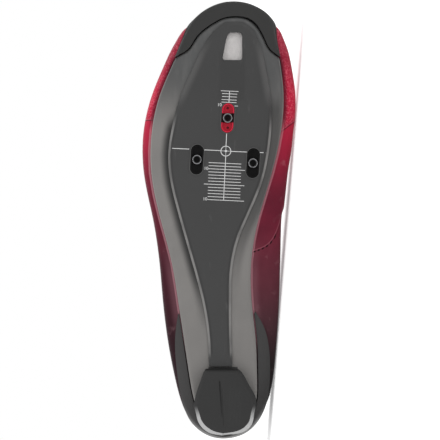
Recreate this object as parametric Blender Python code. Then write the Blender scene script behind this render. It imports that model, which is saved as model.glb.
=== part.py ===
"""Road cycling shoe for the right foot, lying on its inner side.

Everything is first modelled in the shoe's own frame: X runs from heel to toe, Y to the inner
(medial) side and Z from the sole up to the collar, with Z = 0 at the cleat seat. One empty,
"shoe", then lays the whole shoe down on its inner side.
"""
import math

import bmesh
import bpy
import numpy as np
from mathutils import Matrix, Vector
from mathutils.bvhtree import BVHTree

# Overall sizes of the shoe
LENGTH = 0.2847
BALL_WIDTH = 0.1007
COLLAR_HEIGHT = 0.0900
VAMP_HEIGHT = 0.0610
COLLAR_WIDTH = 0.0640

# The sole from the side
HEEL_SEAT = 0.0095
TOE_SPRING = 0.0190
EDGE_RISE = 0.0055
CLEAT_FLAT = 0.0480
PLATE_THICKNESS = 0.0018
PLATE_BEVEL = 0.0022
PLATE_BEVEL_SHARE = 0.6
PLATE_END = 0.0060
PLATE_END_BEVEL = 0.12
PLATE_MARGIN = 0.0100
FRAME_THICKNESS = 0.0042
FRAME_ROUND = 0.0012
FRAME_HEEL_START = 0.0012
FRAME_MARGIN = 0.0220
HEEL_PAD_BEVEL = 0.0020
HEEL_PAD_LEVEL = 0.0012
HEEL_STRIKE = 0.0040
HEEL_STRIKE_LENGTH = 0.0200
PAD_MARGIN = 0.0080
PAD_GROOVE = 0.0010
PAD_GROOVE_WIDTH = 0.0010
PAD_GROOVE_ENDS = ((0.0080, -0.0035), (0.0370, -0.0055))
BUMPER_PROUD = 0.0006
BUMPER_THICKNESS = 0.0022
BUMPER_CLIMB = 78.0
BUMPER_ROUND = 0.0012
BUMPER_START_GAP = 0.006
BUMPER_LEAST_CLIMB = 0.03
BUMPER_GROOVE = 0.0005
LIP_TIP = 0.35

# The upper and what lies in it
UPPER_WALL = 0.0020
BULGE_HEIGHT = 0.0075
WRAP_STEP = 0.0011
TOE_PANEL_STEP = 0.0009
SEAM_LINE = 0.0004
CUP_THICKNESS = 0.0014
CUP_START = 3.0
LASTING_MARGIN = 0.0060
INSOLE_THICKNESS = 0.0026
INSOLE_EDGE_LIFT = 0.0018
INSOLE_ROUND = 0.0005
INSOLE_SHARES = (0.76, 0.34)
TONGUE_THICKNESS = 0.0030
TONGUE_LAP = 0.0060
TONGUE_RISE = 0.0160
TONGUE_TUCK = 0.0100
TONGUE_FRONT = 0.0180
TONGUE_CROWN = 0.0015
TONGUE_SLOPE = 0.42
TONGUE_CORNER = 0.0090
TONGUE_CORNER_SHARE = 0.35
TONGUE_NARROWING = 0.0300
THROAT_OVERLAP = 0.0040
INSIDE_HEIGHT = 0.0300
STRAP_THICKNESS = 0.0014
STRAP_WIDTH = 0.0170
STRAP_LIFT = 0.0007
STRAP_REACH_MEDIAL = 0.0270
STRAP_TIP = 0.0055
STRAP_SPREAD = 0.0030
STRAP_MIDDLE_HEIGHT = 0.0180

# Three bolt cleat slots and their nuts
BOLT_SPACING = 0.0365
BOLT_SETBACK = 0.0282
BOLT_AXIS_ANGLE = math.radians(3.6)
FRONT_BOLT_ALONG = 0.7303
FRONT_BOLT_ACROSS = -0.0002
SLOT_WIDTH = 0.0084
SLOT_LENGTH = 0.0195
LINER_WALL = 0.0006
LINER_FLOOR = 0.0010
LINER_RECESS = 0.0005
NUT_DIAMETER = 0.0060
NUT_BORE = 0.0042
NUT_BASE_LENGTH = 0.0067
NUT_BASE_HEIGHT = 0.0014
NUT_RECESS = 0.0006

# Toe window
VENT_ALONG = 0.8955
VENT_ACROSS = 0.0038
VENT_LENGTH = 0.0182
VENT_WIDTH_FRONT = 0.0074
VENT_WIDTH_BACK = 0.0122
VENT_ROUND = 0.0012
VENT_BELLY = 0.55
VENT_THICKNESS = 0.0012

# Where the shoe may rest, in shares of the length and of the collar height
BALL_ZONE = 0.60
HEEL_ZONE = 0.35
COLLAR_ZONE = 0.45
HEEL_ZONE_TOP = 0.50
COLLAR_ZONE_FOOT = 0.60

# Clearances
GAP = 0.0003
FLAT_SPOT = 0.0005

# How finely the pieces are divided
SIDE_STATIONS = 30
NEAR_STATION = 0.4
FOOT_ROWS = 4
WALL_ROWS = 7
CUP_STATIONS = 25
CUP_ROWS = 5
BUMPER_STATIONS = 27
LIP_ROWS = 4
STRAP_STATIONS = 11
STRAP_ROWS = 5
STRAP_RAYS = 61
TONGUE_STATIONS = 18
TONGUE_ROWS = 7
CUT_REACH = 0.0200
PLATE_STATIONS = 56
PAD_STATIONS = 36
NUT_SIDES = 12
SMALL_STEP = 0.0002
NORMAL_STEP = 0.004
SHARP_EDGE = [(0.0002, 0.0), (0.0, 0.0001)]

# Plan of the shoe, a row for each equal step of the station from heel (0) to toe (1).
# Widths are shares of the ball width, measured outward from the shoe's line.
# edge is the sole's edge, outline the widest line of the upper.
PLAN_COLUMNS = ("edge_lateral", "edge_medial", "outline_lateral", "outline_medial")
PLAN = (
    (0.028, -0.028, 0.032, -0.032),
    (0.096, 0.052, 0.149, 0.103),
    (0.171, 0.144, 0.248, 0.194),
    (0.223, 0.187, 0.308, 0.263),
    (0.254, 0.187, 0.352, 0.301),
    (0.286, 0.181, 0.393, 0.322),
    (0.323, 0.152, 0.424, 0.334),
    (0.365, 0.149, 0.446, 0.343),
    (0.439, 0.197, 0.486, 0.349),
    (0.497, 0.281, 0.547, 0.384),
    (0.497, 0.342, 0.555, 0.431),
    (0.447, 0.362, 0.503, 0.444),
    (0.355, 0.338, 0.413, 0.409),
    (0.285, 0.307, 0.324, 0.352),
    (0.210, 0.267, 0.210, 0.267),
    (0.093, 0.163, 0.093, 0.163),
    (-0.036, 0.036, -0.036, 0.036),
)

# The top line of the upper, at the same stations: round the collar and down the throat.
# along is a share of the length, lateral and medial of half the collar width; the height is
# a share of the collar height and a share of the vamp height. roundness is in degrees.
TOP_COLUMNS = ("along", "lateral", "medial", "collar", "vamp", "roundness")
TOP = (
    (0.022, 0.10, -0.10, 1.02, 0.000, 25.0),
    (0.025, 0.42, 0.26, 1.01, 0.000, 25.0),
    (0.042, 0.74, 0.60, 0.96, 0.000, 27.0),
    (0.078, 0.97, 0.84, 0.87, 0.000, 30.0),
    (0.134, 1.08, 0.93, 0.80, 0.000, 32.0),
    (0.200, 1.10, 0.95, 0.77, 0.000, 35.0),
    (0.270, 1.06, 0.91, 0.80, 0.000, 42.0),
    (0.340, 0.95, 0.80, 0.89, 0.000, 52.0),
    (0.397, 0.78, 0.65, 1.01, 0.000, 60.0),
    (0.443, 0.62, 0.53, 0.86, 0.210, 64.0),
    (0.503, 0.54, 0.47, 0.66, 0.420, 67.0),
    (0.562, 0.49, 0.44, 0.44, 0.635, 70.0),
    (0.618, 0.44, 0.41, 0.24, 0.820, 73.0),
    (0.657, 0.37, 0.37, 0.12, 0.920, 75.0),
    (0.683, 0.27, 0.29, 0.05, 0.980, 76.0),
    (0.697, 0.12, 0.19, 0.01, 1.005, 76.0),
    (0.702, -0.03, 0.03, 0.00, 1.010, 76.0),
)
THROAT_ROW = 8

# Side profile of the cleat face, a row for each place along the length:
# shares of the heel seat and of the toe spring.
PROFILE_COLUMNS = ("along", "heel_seat", "toe_spring")
PROFILE = (
    (0.00, 1.35, 0.00),
    (0.06, 1.10, 0.00),
    (0.16, 1.00, 0.00),
    (0.30, 1.15, 0.00),
    (0.42, 1.00, 0.00),
    (0.51, 0.52, 0.00),
    (0.57, 0.14, 0.00),
    (0.60, 0.02, 0.00),
    (0.63, 0.00, 0.00),
    (0.77, 0.00, 0.00),
    (0.81, 0.00, 0.08),
    (0.88, 0.00, 0.36),
    (0.94, 0.00, 0.66),
    (1.00, 0.00, 1.00),
)

# Outline of the raised plate: a row for each place along the length, shares of the ball width.
PLATE_COLUMNS = ("along", "lateral", "medial")
PLATE = (
    (0.162, 0.123, 0.029),
    (0.240, 0.133, 0.022),
    (0.315, 0.168, 0.020),
    (0.384, 0.219, 0.026),
    (0.452, 0.274, 0.065),
    (0.521, 0.328, 0.149),
    (0.589, 0.374, 0.226),
    (0.658, 0.386, 0.266),
    (0.715, 0.358, 0.282),
    (0.772, 0.317, 0.278),
    (0.840, 0.232, 0.245),
    (0.904, 0.149, 0.207),
    (0.935, 0.085, 0.165),
    (0.952, 0.020, 0.100),
)

# Where the bumper ends on the sole, from the edge on one side to the edge on the other.
BUMPER_COLUMNS = ("along", "lateral", "medial")
BUMPER = (
    (0.868, 0.345, 0.338),
    (0.887, 0.252, 0.267),
    (0.919, 0.194, 0.223),
    (0.945, 0.103, 0.173),
    (0.959, 0.029, 0.116),
    (0.963, -0.037, 0.037),
)

# The rubber pad under the heel, in shares of the length and of the ball width.
PAD_COLUMNS = ("along", "lateral", "medial")
PAD = (
    (0.0050, 0.028, -0.028),
    (0.0080, 0.066, 0.022),
    (0.0137, 0.098, 0.068),
    (0.0200, 0.127, 0.098),
    (0.0350, 0.170, 0.139),
    (0.0550, 0.203, 0.165),
    (0.0750, 0.220, 0.182),
    (0.0850, 0.217, 0.186),
    (0.1150, 0.193, 0.145),
    (0.1380, 0.170, 0.110),
    (0.1500, 0.158, 0.092),
    (0.1580, 0.145, 0.060),
)

# The heel cup: how far up the bulge its top edge runs, in degrees, at stations from the heel.
CUP_COLUMNS = ("station", "climb")
CUP = (
    (0.00, 58.0),
    (0.10, 58.0),
    (0.18, 52.0),
    (0.25, 44.0),
    (0.30, 34.0),
    (0.335, 20.0),
    (0.355, 6.0),
)

# The seams of the inner side: stations on the sole's edge, and how far each leans forward.
WRAP_SEAM = 0.452
TOE_PANEL_SEAM = 0.638
WRAP_LEAN = 0.061
WRAP_LEAN_SPREAD = 0.11
WRAP_FADE = 0.110
TOE_PANEL_FADE = 0.060

# The straps over the throat: where each crosses the shoe's line, and how far its free end
# reaches down the outer side, in metres.
STRAP_COLUMNS = ("name", "along", "reach_lateral")
STRAPS = (
    ("strap_rear", 0.485, 0.0560),
    ("strap_middle", 0.566, 0.0500),
    ("strap_front", 0.643, 0.0420),
)

# Stations between which the bumper's lip stands in front of the upper
LIP_START = 0.800
LIP_FULL = 0.900


def smooth_read(places, values, place, level=False):
    """Value at a place on the smooth curve through a table's rows.

    A level curve never runs past its rows, so that flat stretches stay flat.
    """
    places = np.asarray(places, dtype=float)
    values = np.asarray(values, dtype=float)
    slopes = np.gradient(values, places)
    if level:
        rises = np.diff(values) / np.diff(places)
        turning = rises[:-1] * rises[1:] <= 0.0
        slopes[1:-1] = np.where(turning, 0.0, slopes[1:-1])
        least = np.minimum(np.abs(rises[:-1]), np.abs(rises[1:]))
        slopes[1:-1] = np.clip(slopes[1:-1], -3.0 * least, 3.0 * least)
    place = np.clip(np.asarray(place, dtype=float), places[0], places[-1])
    row = np.clip(np.searchsorted(places, place) - 1, 0, len(places) - 2)
    span = places[row + 1] - places[row]
    part = (place - places[row]) / span
    start = (1 + 2 * part) * (1 - part) ** 2 * values[row] + part * (1 - part) ** 2 * span * slopes[row]
    end = part ** 2 * (3 - 2 * part) * values[row + 1] - part ** 2 * (1 - part) * span * slopes[row + 1]
    return start + end


def column(table, columns, name):
    """One named column of a table."""
    return [row[columns.index(name)] for row in table]


def fade(value):
    """Soft step from 0 to 1."""
    value = np.clip(value, 0.0, 1.0)
    return value * value * (3.0 - 2.0 * value)


def plan_read(name, station):
    """Width in metres at a station of the plan."""
    steps = np.linspace(0.0, 1.0, len(PLAN))
    return BALL_WIDTH * smooth_read(steps, column(PLAN, PLAN_COLUMNS, name), station)


def top_read(name, station):
    """A column of the top line at a station."""
    steps = np.linspace(0.0, 1.0, len(TOP))
    return smooth_read(steps, column(TOP, TOP_COLUMNS, name), station)


def along_of(station, start=0.0):
    """Place along the shoe of a station, close set at heel and toe."""
    return start + (LENGTH - start) * (1.0 - np.cos(math.pi * np.asarray(station))) / 2.0


def stations_round():
    """Stations and sides (-1 lateral, 1 medial) round the shoe, doubled at the two seams."""
    lateral = [(step / SIDE_STATIONS, -1) for step in range(SIDE_STATIONS + 1)]
    medial = [step / SIDE_STATIONS for step in range(1, SIDE_STATIONS)]
    seam = SEAM_LINE / LENGTH
    near = NEAR_STATION / SIDE_STATIONS
    for place in (WRAP_SEAM, TOE_PANEL_SEAM):
        medial = [value for value in medial if abs(value - place) > near]
        medial += [place - seam, place + seam]
    medial.sort(reverse=True)
    return lateral + [(value, 1) for value in medial]


def side_read(kind, stations):
    """Signed Y of the edge or outline at each station and side."""
    values = []
    for station, side in stations:
        name = kind + ("_medial" if side > 0 else "_lateral")
        values.append(side * float(plan_read(name, station)))
    return np.array(values)


def outward(loop):
    """Outward unit normals in plan of a closed loop that runs lateral first, heel to toe."""
    ahead = np.roll(loop, -1, axis=0) - np.roll(loop, 1, axis=0)
    normal = np.stack([ahead[:, 1], -ahead[:, 0]], axis=1)
    return normal / np.linalg.norm(normal, axis=1)[:, None]


def table_loop(table, columns, count):
    """A closed loop in plan from a table of lateral and medial widths, evenly spaced."""
    along = np.array(column(table, columns, "along"))
    fine = along[0] + (along[-1] - along[0]) * (1 - np.cos(np.linspace(0, math.pi, 200))) / 2
    lateral = -BALL_WIDTH * smooth_read(along, column(table, columns, "lateral"), fine)
    medial = BALL_WIDTH * smooth_read(along, column(table, columns, "medial"), fine)
    there = np.stack([fine * LENGTH, lateral], axis=1)
    back = np.stack([fine * LENGTH, medial], axis=1)[::-1]
    return np.concatenate([resample(there, count // 2), resample(back, count // 2)])


def resample(points, count):
    """Evenly spaced points along an open line, both ends kept."""
    steps = np.linalg.norm(np.diff(points, axis=0), axis=1)
    travel = np.concatenate([[0.0], np.cumsum(steps)])
    places = np.linspace(0.0, travel[-1], count)
    return np.stack([np.interp(places, travel, points[:, axis]) for axis in range(points.shape[1])], axis=1)


def middle_of(along):
    """The line midway between the sole's edges."""
    station = np.arccos(np.clip(1.0 - 2.0 * np.asarray(along) / LENGTH, -1.0, 1.0)) / math.pi
    return (plan_read("edge_medial", station) - plan_read("edge_lateral", station)) / 2.0


def tread(along, across):
    """Height of the cleat face over the floor plane of the ball."""
    share = np.asarray(along) / LENGTH
    places = column(PROFILE, PROFILE_COLUMNS, "along")
    heel = HEEL_SEAT * smooth_read(places, column(PROFILE, PROFILE_COLUMNS, "heel_seat"), share, True)
    toe = TOE_SPRING * smooth_read(places, column(PROFILE, PROFILE_COLUMNS, "toe_spring"), share, True)
    out = np.abs(np.asarray(across) - middle_of(along)) - CLEAT_FLAT / 2
    dish = EDGE_RISE * (np.maximum(out, 0.0) / (BALL_WIDTH / 2 - CLEAT_FLAT / 2)) ** 3
    return heel + toe + dish


def frame_bottom(along, across):
    """Underside of the grey frame, just over the plate."""
    return tread(along, across) + PLATE_THICKNESS + GAP


def frame_top(along, across):
    """Upper face of the grey frame, which carries insole and upper."""
    return frame_bottom(along, across) + FRAME_THICKNESS


def add_object(name, points, faces, material, smooth=True):
    """A new object in the shoe's frame, closed and with its faces pointing out."""
    mesh = bpy.data.meshes.new(name)
    mesh.from_pydata([tuple(map(float, point)) for point in points], [], faces)
    shape = bmesh.new()
    shape.from_mesh(mesh)
    bmesh.ops.remove_doubles(shape, verts=shape.verts, dist=1e-6)
    bmesh.ops.triangulate(shape, faces=[face for face in shape.faces if len(face.verts) > 4])
    bmesh.ops.recalc_face_normals(shape, faces=shape.faces)
    shape.to_mesh(mesh)
    shape.free()
    mesh.materials.append(material)
    if smooth:
        mesh.shade_smooth()
        mesh.set_sharp_from_angle(angle=math.radians(35))
    thing = bpy.data.objects.new(name, mesh)
    bpy.context.scene.collection.objects.link(thing)
    return thing


def make_material(name, colour, roughness, metallic=0.0):
    """A Principled material."""
    material = bpy.data.materials.new(name)
    material.use_nodes = True
    shader = material.node_tree.nodes["Principled BSDF"]
    shader.inputs["Base Color"].default_value = (*colour, 1.0)
    shader.inputs["Roughness"].default_value = roughness
    shader.inputs["Metallic"].default_value = metallic
    return material


def spine_of(loop, margin):
    """For each point of a loop, the point of the loop's middle line that it shrinks towards."""
    half = len(loop) // 2
    lateral = loop[:half + 1]
    medial = np.concatenate([loop[half:], loop[:1]])[::-1]
    along = np.clip(loop[:, 0], loop[:, 0].min() + margin, loop[:, 0].max() - margin)
    low = np.interp(along, lateral[:, 0], lateral[:, 1])
    high = np.interp(along, medial[:, 0], medial[:, 1])
    return np.stack([along, (low + high) / 2], axis=1)


def slab(name, loop, low, high, material, bottom_edge, top_edge, margin, shares=(0.8, 0.5, 0.18),
         taper=None):
    """A closed solid between two surfaces over an outline.

    bottom_edge and top_edge list (inset, height) steps from the face out to the rim: how far
    in from the outline each lies and how far it is taken back from the surface. taper gives
    the share of the bottom edge's steps at each point of the outline.
    """
    taper = np.ones(len(loop)) if taper is None else taper
    spine = spine_of(loop, margin)
    normal = outward(loop)
    count = len(loop)
    rings = []

    def add_ring(plan, height):
        rings.append(np.column_stack([plan, height]))

    for share in shares[::-1]:
        plan = spine + share * (loop - spine)
        add_ring(plan, low(plan[:, 0], plan[:, 1]))
    for inset, height in bottom_edge:
        plan = loop - normal * (inset * taper)[:, None]
        add_ring(plan, low(plan[:, 0], plan[:, 1]) + height * taper)
    for inset, height in top_edge[::-1]:
        plan = loop - normal * inset
        add_ring(plan, high(plan[:, 0], plan[:, 1]) - height)
    for share in shares:
        plan = spine + share * (loop - spine)
        add_ring(plan, high(plan[:, 0], plan[:, 1]))
    faces = []
    for ring in range(len(rings) - 1):
        for step in range(count):
            ahead = (step + 1) % count
            faces.append((ring * count + step, ring * count + ahead,
                          (ring + 1) * count + ahead, (ring + 1) * count + step))
    faces.append(tuple(range(count))[::-1])
    last = (len(rings) - 1) * count
    faces.append(tuple(range(last, last + count)))
    return add_object(name, np.concatenate(rings), faces, material)


def cut(thing, cutter):
    """Cut one object out of another for good, and remove the cutter."""
    modifier = thing.modifiers.new("cut", "BOOLEAN")
    modifier.operation = "DIFFERENCE"
    modifier.solver = "EXACT"
    modifier.object = cutter
    bake(thing, cutter)


def join(thing, other):
    """Unite two overlapping solids into the first."""
    modifier = thing.modifiers.new("join", "BOOLEAN")
    modifier.operation = "UNION"
    modifier.solver = "EXACT"
    modifier.object = other
    bake(thing, other)


def bake(thing, helper):
    """Keep the evaluated mesh of an object, and remove the helper object."""
    view = bpy.context.evaluated_depsgraph_get()
    mesh = bpy.data.meshes.new_from_object(thing.evaluated_get(view))
    old = thing.data
    thing.modifiers.clear()
    thing.data = mesh
    bpy.data.meshes.remove(old)
    old = helper.data
    bpy.data.objects.remove(helper)
    bpy.data.meshes.remove(old)


def rib_grid(stations, climbs, walls):
    """Points of the upper's outer face: a row of the result for each station.

    climbs are degrees up the bulge from the sole's edge (0) to the outline (90), one list
    for each station. walls are shares of the way from the outline to the top line.
    """
    places = np.array([station for station, side in stations])
    sides = np.array([side for station, side in stations])
    lean = WRAP_LEAN * np.exp(-((places - WRAP_SEAM) / WRAP_LEAN_SPREAD) ** 2) * (sides > 0)
    leaned = [(float(place + shift), side) for place, shift, side in zip(places, lean, sides)]
    high = np.array([place for place, side in leaned])
    lip = (GAP + BUMPER_THICKNESS) * fade((places - LIP_START) / (LIP_FULL - LIP_START))

    foot = np.stack([along_of(places, FRAME_HEEL_START), side_read("edge", stations)], axis=1)
    foot = foot - plan_normals(stations, "edge", FRAME_HEEL_START) * lip[:, None]
    wide = np.stack([along_of(high), side_read("outline", leaned)], axis=1)
    wide = wide - plan_normals(leaned, "outline", 0.0) * lip[:, None]
    top_width = np.where(sides > 0, top_read("medial", high), -top_read("lateral", high))
    top = np.stack([LENGTH * top_read("along", high), COLLAR_WIDTH / 2 * top_width], axis=1)

    foot_height = frame_top(foot[:, 0], foot[:, 1]) + GAP
    wide_height = foot_height + BULGE_HEIGHT
    top_height = COLLAR_HEIGHT * top_read("collar", high) + VAMP_HEIGHT * top_read("vamp", high)
    turn = np.radians(top_read("roundness", high))

    rows = []
    for step in range(climbs.shape[1]):
        climb = np.radians(climbs[:, step])
        plan = foot + (wide - foot) * np.sin(climb)[:, None]
        height = foot_height + (wide_height - foot_height) * (1 - np.cos(climb))
        rows.append(np.column_stack([plan, height]))
    for share in walls:
        plan_share = (1 - np.cos(turn * share)) / (1 - np.cos(turn))
        height_share = np.sin(turn * share) / np.sin(turn)
        plan = wide + (top - wide) * plan_share[:, None]
        height = wide_height + (top_height - wide_height) * height_share
        rows.append(np.column_stack([plan, height]))
    return np.stack(rows, axis=1)


def plan_normals(stations, kind, start):
    """Outward plan normals of the edge or outline at stations, from points just beside them."""
    normals = []
    for station, side in stations:
        ends = []
        for shift in (-NORMAL_STEP, NORMAL_STEP):
            place = station + shift
            over = place < 0.0 or place > 1.0
            there = -side if over else side
            place = -place if place < 0.0 else 2.0 - place if place > 1.0 else place
            name = kind + ("_medial" if there > 0 else "_lateral")
            ends.append((float(along_of(place, start)), there * float(plan_read(name, place))))
        run = np.array(ends[1]) - np.array(ends[0])
        normal = np.array([-run[1], run[0]]) * side
        normals.append(normal / np.linalg.norm(normal))
    return np.array(normals)


def grid_normals(grid, closed):
    """Outward unit normals of a grid of points."""
    if closed:
        around = np.roll(grid, -1, axis=0) - np.roll(grid, 1, axis=0)
    else:
        around = np.gradient(grid, axis=0)
    up = np.gradient(grid, axis=1)
    normal = np.cross(around, up)
    return normal / np.maximum(np.linalg.norm(normal, axis=2), 1e-12)[:, :, None]


def wall_steps(stations):
    """How proud the wall stands at each station, for the wrap and the toe panel."""
    steps = []
    for station, side in stations:
        proud = 0.0
        if side > 0 and station > WRAP_SEAM:
            proud += WRAP_STEP * float(fade(1 - (station - WRAP_SEAM) / WRAP_FADE))
        if side > 0 and station < TOE_PANEL_SEAM:
            proud -= TOE_PANEL_STEP * float(fade(1 - (TOE_PANEL_SEAM - station) / TOE_PANEL_FADE))
        steps.append(proud)
    return np.array(steps)


def upper_faces():
    """Outer and inner points of the upper's wall, the margin under the foot first."""
    stations = stations_round()
    climbs = np.tile(np.linspace(0.0, 90.0, FOOT_ROWS + 1), (len(stations), 1))
    walls = np.linspace(0.0, 1.0, WALL_ROWS + 1)[1:]
    grid = rib_grid(stations, climbs, walls)
    normals = grid_normals(grid, True)
    rising = np.minimum(1.0, np.arange(grid.shape[1]) / FOOT_ROWS)
    outer = grid + normals * wall_steps(stations)[:, None, None] * rising[None, :, None]
    inner = grid - normals * UPPER_WALL
    foot = grid[:, 0, :2]
    margin = foot - outward(foot) * LASTING_MARGIN
    margin_low = np.column_stack([margin, frame_top(margin[:, 0], margin[:, 1]) + GAP])
    inner[:, 0, :2] = foot - outward(foot) * np.minimum(UPPER_WALL, LASTING_MARGIN / 2)
    inner[:, 0, 2] = outer[:, 0, 2] + UPPER_WALL
    for row in range(1, FOOT_ROWS + 1):
        inner[:, row, 2] = np.maximum(inner[:, row, 2], inner[:, row - 1, 2] + SMALL_STEP)
    margin_high = margin_low + np.array([0.0, 0.0, UPPER_WALL])
    outer = np.concatenate([margin_low[:, None, :], outer], axis=1)
    inner = np.concatenate([margin_high[:, None, :], inner], axis=1)
    return outer, inner


def resting_plane(outer):
    """The plane that touches the inner side at ball, heel and collar: normal and distance."""
    points = outer.reshape(-1, 3)
    along = points[:, 0] / LENGTH
    height = points[:, 2] / COLLAR_HEIGHT
    zones = (points[along > BALL_ZONE], points[(along < HEEL_ZONE) & (height < HEEL_ZONE_TOP)],
             points[(along < COLLAR_ZONE) & (height > COLLAR_ZONE_FOOT)])
    slopes = np.zeros(3)
    for _ in range(20):
        touching = []
        for zone in zones:
            reach = zone[:, 1] - slopes[1] * zone[:, 0] - slopes[2] * zone[:, 2]
            touching.append(zone[np.argmax(reach)])
        touching = np.array(touching)
        left = np.column_stack([np.ones(3), touching[:, 0], touching[:, 2]])
        slopes = np.linalg.solve(left, touching[:, 1])
    normal = np.array([-slopes[1], 1.0, -slopes[2]])
    size = np.linalg.norm(normal)
    return normal / size, slopes[0] / size


def press_flat(points, normal, distance):
    """Move what reaches the resting plane back onto a plane just short of it."""
    over = points @ normal - (distance - FLAT_SPOT)
    return points - np.maximum(over, 0.0)[..., None] * normal


def shell_object(name, outer, inner, closed, material):
    """A closed wall between two grids of points."""
    count, rows = outer.shape[:2]
    points = np.concatenate([outer.reshape(-1, 3), inner.reshape(-1, 3)])
    inside = count * rows
    faces = []
    last = count if closed else count - 1
    for step in range(last):
        ahead = (step + 1) % count
        for row in range(rows - 1):
            quad = [step * rows + row, ahead * rows + row, ahead * rows + row + 1, step * rows + row + 1]
            faces.append(tuple(quad))
            faces.append(tuple(inside + place for place in quad[::-1]))
        for row in (0, rows - 1):
            faces.append((step * rows + row, ahead * rows + row,
                          inside + ahead * rows + row, inside + step * rows + row))
    if not closed:
        for step in (0, count - 1):
            for row in range(rows - 1):
                faces.append((step * rows + row, step * rows + row + 1,
                              inside + step * rows + row + 1, inside + step * rows + row))
    return add_object(name, points, faces, material)


def make_upper(outer, inner):
    """The hollow upper."""
    material = make_material("upper_red", (0.55, 0.03, 0.07), 0.35)
    return shell_object("upper", outer, inner, True, material)


def make_heel_cup():
    """The stiff cup between the sole's edge and the upper round the heel."""
    places = np.array(column(CUP, CUP_COLUMNS, "station"))
    tip = places[-1]
    steps = np.linspace(-1.0, 1.0, CUP_STATIONS)
    stations = [(float(abs(step)) * tip, -1 if step > 0 else 1) for step in steps]
    reach = smooth_read(places, column(CUP, CUP_COLUMNS, "climb"), [place for place, side in stations])
    climbs = CUP_START + (reach - CUP_START)[:, None] * np.linspace(0.0, 1.0, CUP_ROWS)
    grid = rib_grid(stations, climbs, [])
    normals = grid_normals(grid, False)
    material = make_material("cup_grey", (0.075, 0.073, 0.072), 0.5)
    return shell_object("heel_cup", grid + normals * (GAP + CUP_THICKNESS), grid + normals * GAP,
                        False, material)


def bumper_line(count):
    """Where the sole meets the bumper, from the lateral edge round the toe to the medial one."""
    along = LENGTH * np.array(column(BUMPER, BUMPER_COLUMNS, "along"))
    lateral = -BALL_WIDTH * np.array(column(BUMPER, BUMPER_COLUMNS, "lateral"))
    medial = BALL_WIDTH * np.array(column(BUMPER, BUMPER_COLUMNS, "medial"))
    corners = np.concatenate([np.stack([along, lateral], axis=1), np.stack([along, medial], axis=1)[-2::-1]])
    steps = np.linalg.norm(np.diff(corners, axis=0), axis=1)
    travel = np.concatenate([[0.0], np.cumsum(steps)])
    fine = np.linspace(0.0, travel[-1], 200)
    curve = np.stack([smooth_read(travel, corners[:, 0], fine), smooth_read(travel, corners[:, 1], fine)], axis=1)
    return resample(curve, count)


def bumper_end():
    """Station at which the bumper starts."""
    share = BUMPER[0][BUMPER_COLUMNS.index("along")]
    return math.acos(1.0 - 2.0 * share) / math.pi


def make_toe_bumper():
    """The dark rim round the toe: a flange on the sole's face and a lip before the upper."""
    steps = np.linspace(-1.0, 1.0, BUMPER_STATIONS)
    start = bumper_end() + BUMPER_START_GAP
    stations = [(float(1.0 - abs(step) * (1.0 - start)), 1 if step > 0 else -1) for step in steps]
    places = np.array([place for place, side in stations])
    edge = np.stack([along_of(places, FRAME_HEEL_START), side_read("edge", stations)], axis=1)
    normals = plan_normals(stations, "edge", FRAME_HEEL_START)
    line = bumper_line(BUMPER_STATIONS)
    ahead = np.gradient(line, axis=0)
    line_normal = np.stack([ahead[:, 1], -ahead[:, 0]], axis=1)
    line = line + line_normal / np.linalg.norm(line_normal, axis=1)[:, None] * BUMPER_GROOVE
    width = np.linalg.norm(edge - line, axis=1)
    soft = edge - normals * np.minimum(BUMPER_ROUND, width / 2)[:, None]

    full = fade((places - LIP_START) / (LIP_FULL - LIP_START))
    thickness = BUMPER_THICKNESS * (LIP_TIP + (1 - LIP_TIP) * full)
    reach = CUP_START + (BUMPER_CLIMB - CUP_START) * np.maximum(full, BUMPER_LEAST_CLIMB)
    climbs = CUP_START + (reach - CUP_START)[:, None] * np.linspace(0.0, 1.0, LIP_ROWS)
    grid = rib_grid(stations, climbs, [])
    lip_normals = grid_normals(grid, False)
    face = grid + lip_normals * (GAP + thickness)[:, None, None]
    back = grid + lip_normals * GAP
    foot = rib_grid(stations, np.zeros((len(stations), 1)), [])[:, 0, :2]

    def level(plan, surface, shift=0.0):
        return np.column_stack([plan, surface(plan[:, 0], plan[:, 1]) + shift])[:, None, :]

    rings = np.concatenate([
        level(line, frame_top),
        level(line, frame_bottom, -BUMPER_PROUD),
        level(soft, frame_bottom, -BUMPER_PROUD),
        level(edge, frame_bottom, BUMPER_ROUND - BUMPER_PROUD),
        face,
        back[:, ::-1],
        level(foot, frame_top),
    ], axis=1)
    count, sides = rings.shape[:2]
    faces = []
    for step in range(count - 1):
        for side in range(sides):
            beside = (side + 1) % sides
            faces.append((step * sides + side, (step + 1) * sides + side,
                          (step + 1) * sides + beside, step * sides + beside))
    faces.append(tuple(range(sides)))
    faces.append(tuple(range((count - 1) * sides, count * sides))[::-1])
    material = make_material("bumper_dark", (0.045, 0.045, 0.045), 0.55)
    return add_object("toe_bumper", rings.reshape(-1, 3), faces, material)


def frame_loop():
    """Outline of the grey frame: the sole's edge, and the bumper's line round the toe."""
    end = bumper_end()
    steps = [step / SIDE_STATIONS for step in range(SIDE_STATIONS) if (step + NEAR_STATION) / SIDE_STATIONS < end]
    lateral = [(place, -1) for place in steps + [end]]
    medial = [(place, 1) for place, side in lateral[::-1]]
    line = bumper_line(BUMPER_STATIONS)[1:-1]

    def edge(stations):
        places = np.array([place for place, side in stations])
        return np.stack([along_of(places, FRAME_HEEL_START), side_read("edge", stations)], axis=1)

    return np.concatenate([edge(lateral), line, edge(medial)[:-1]])


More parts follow.
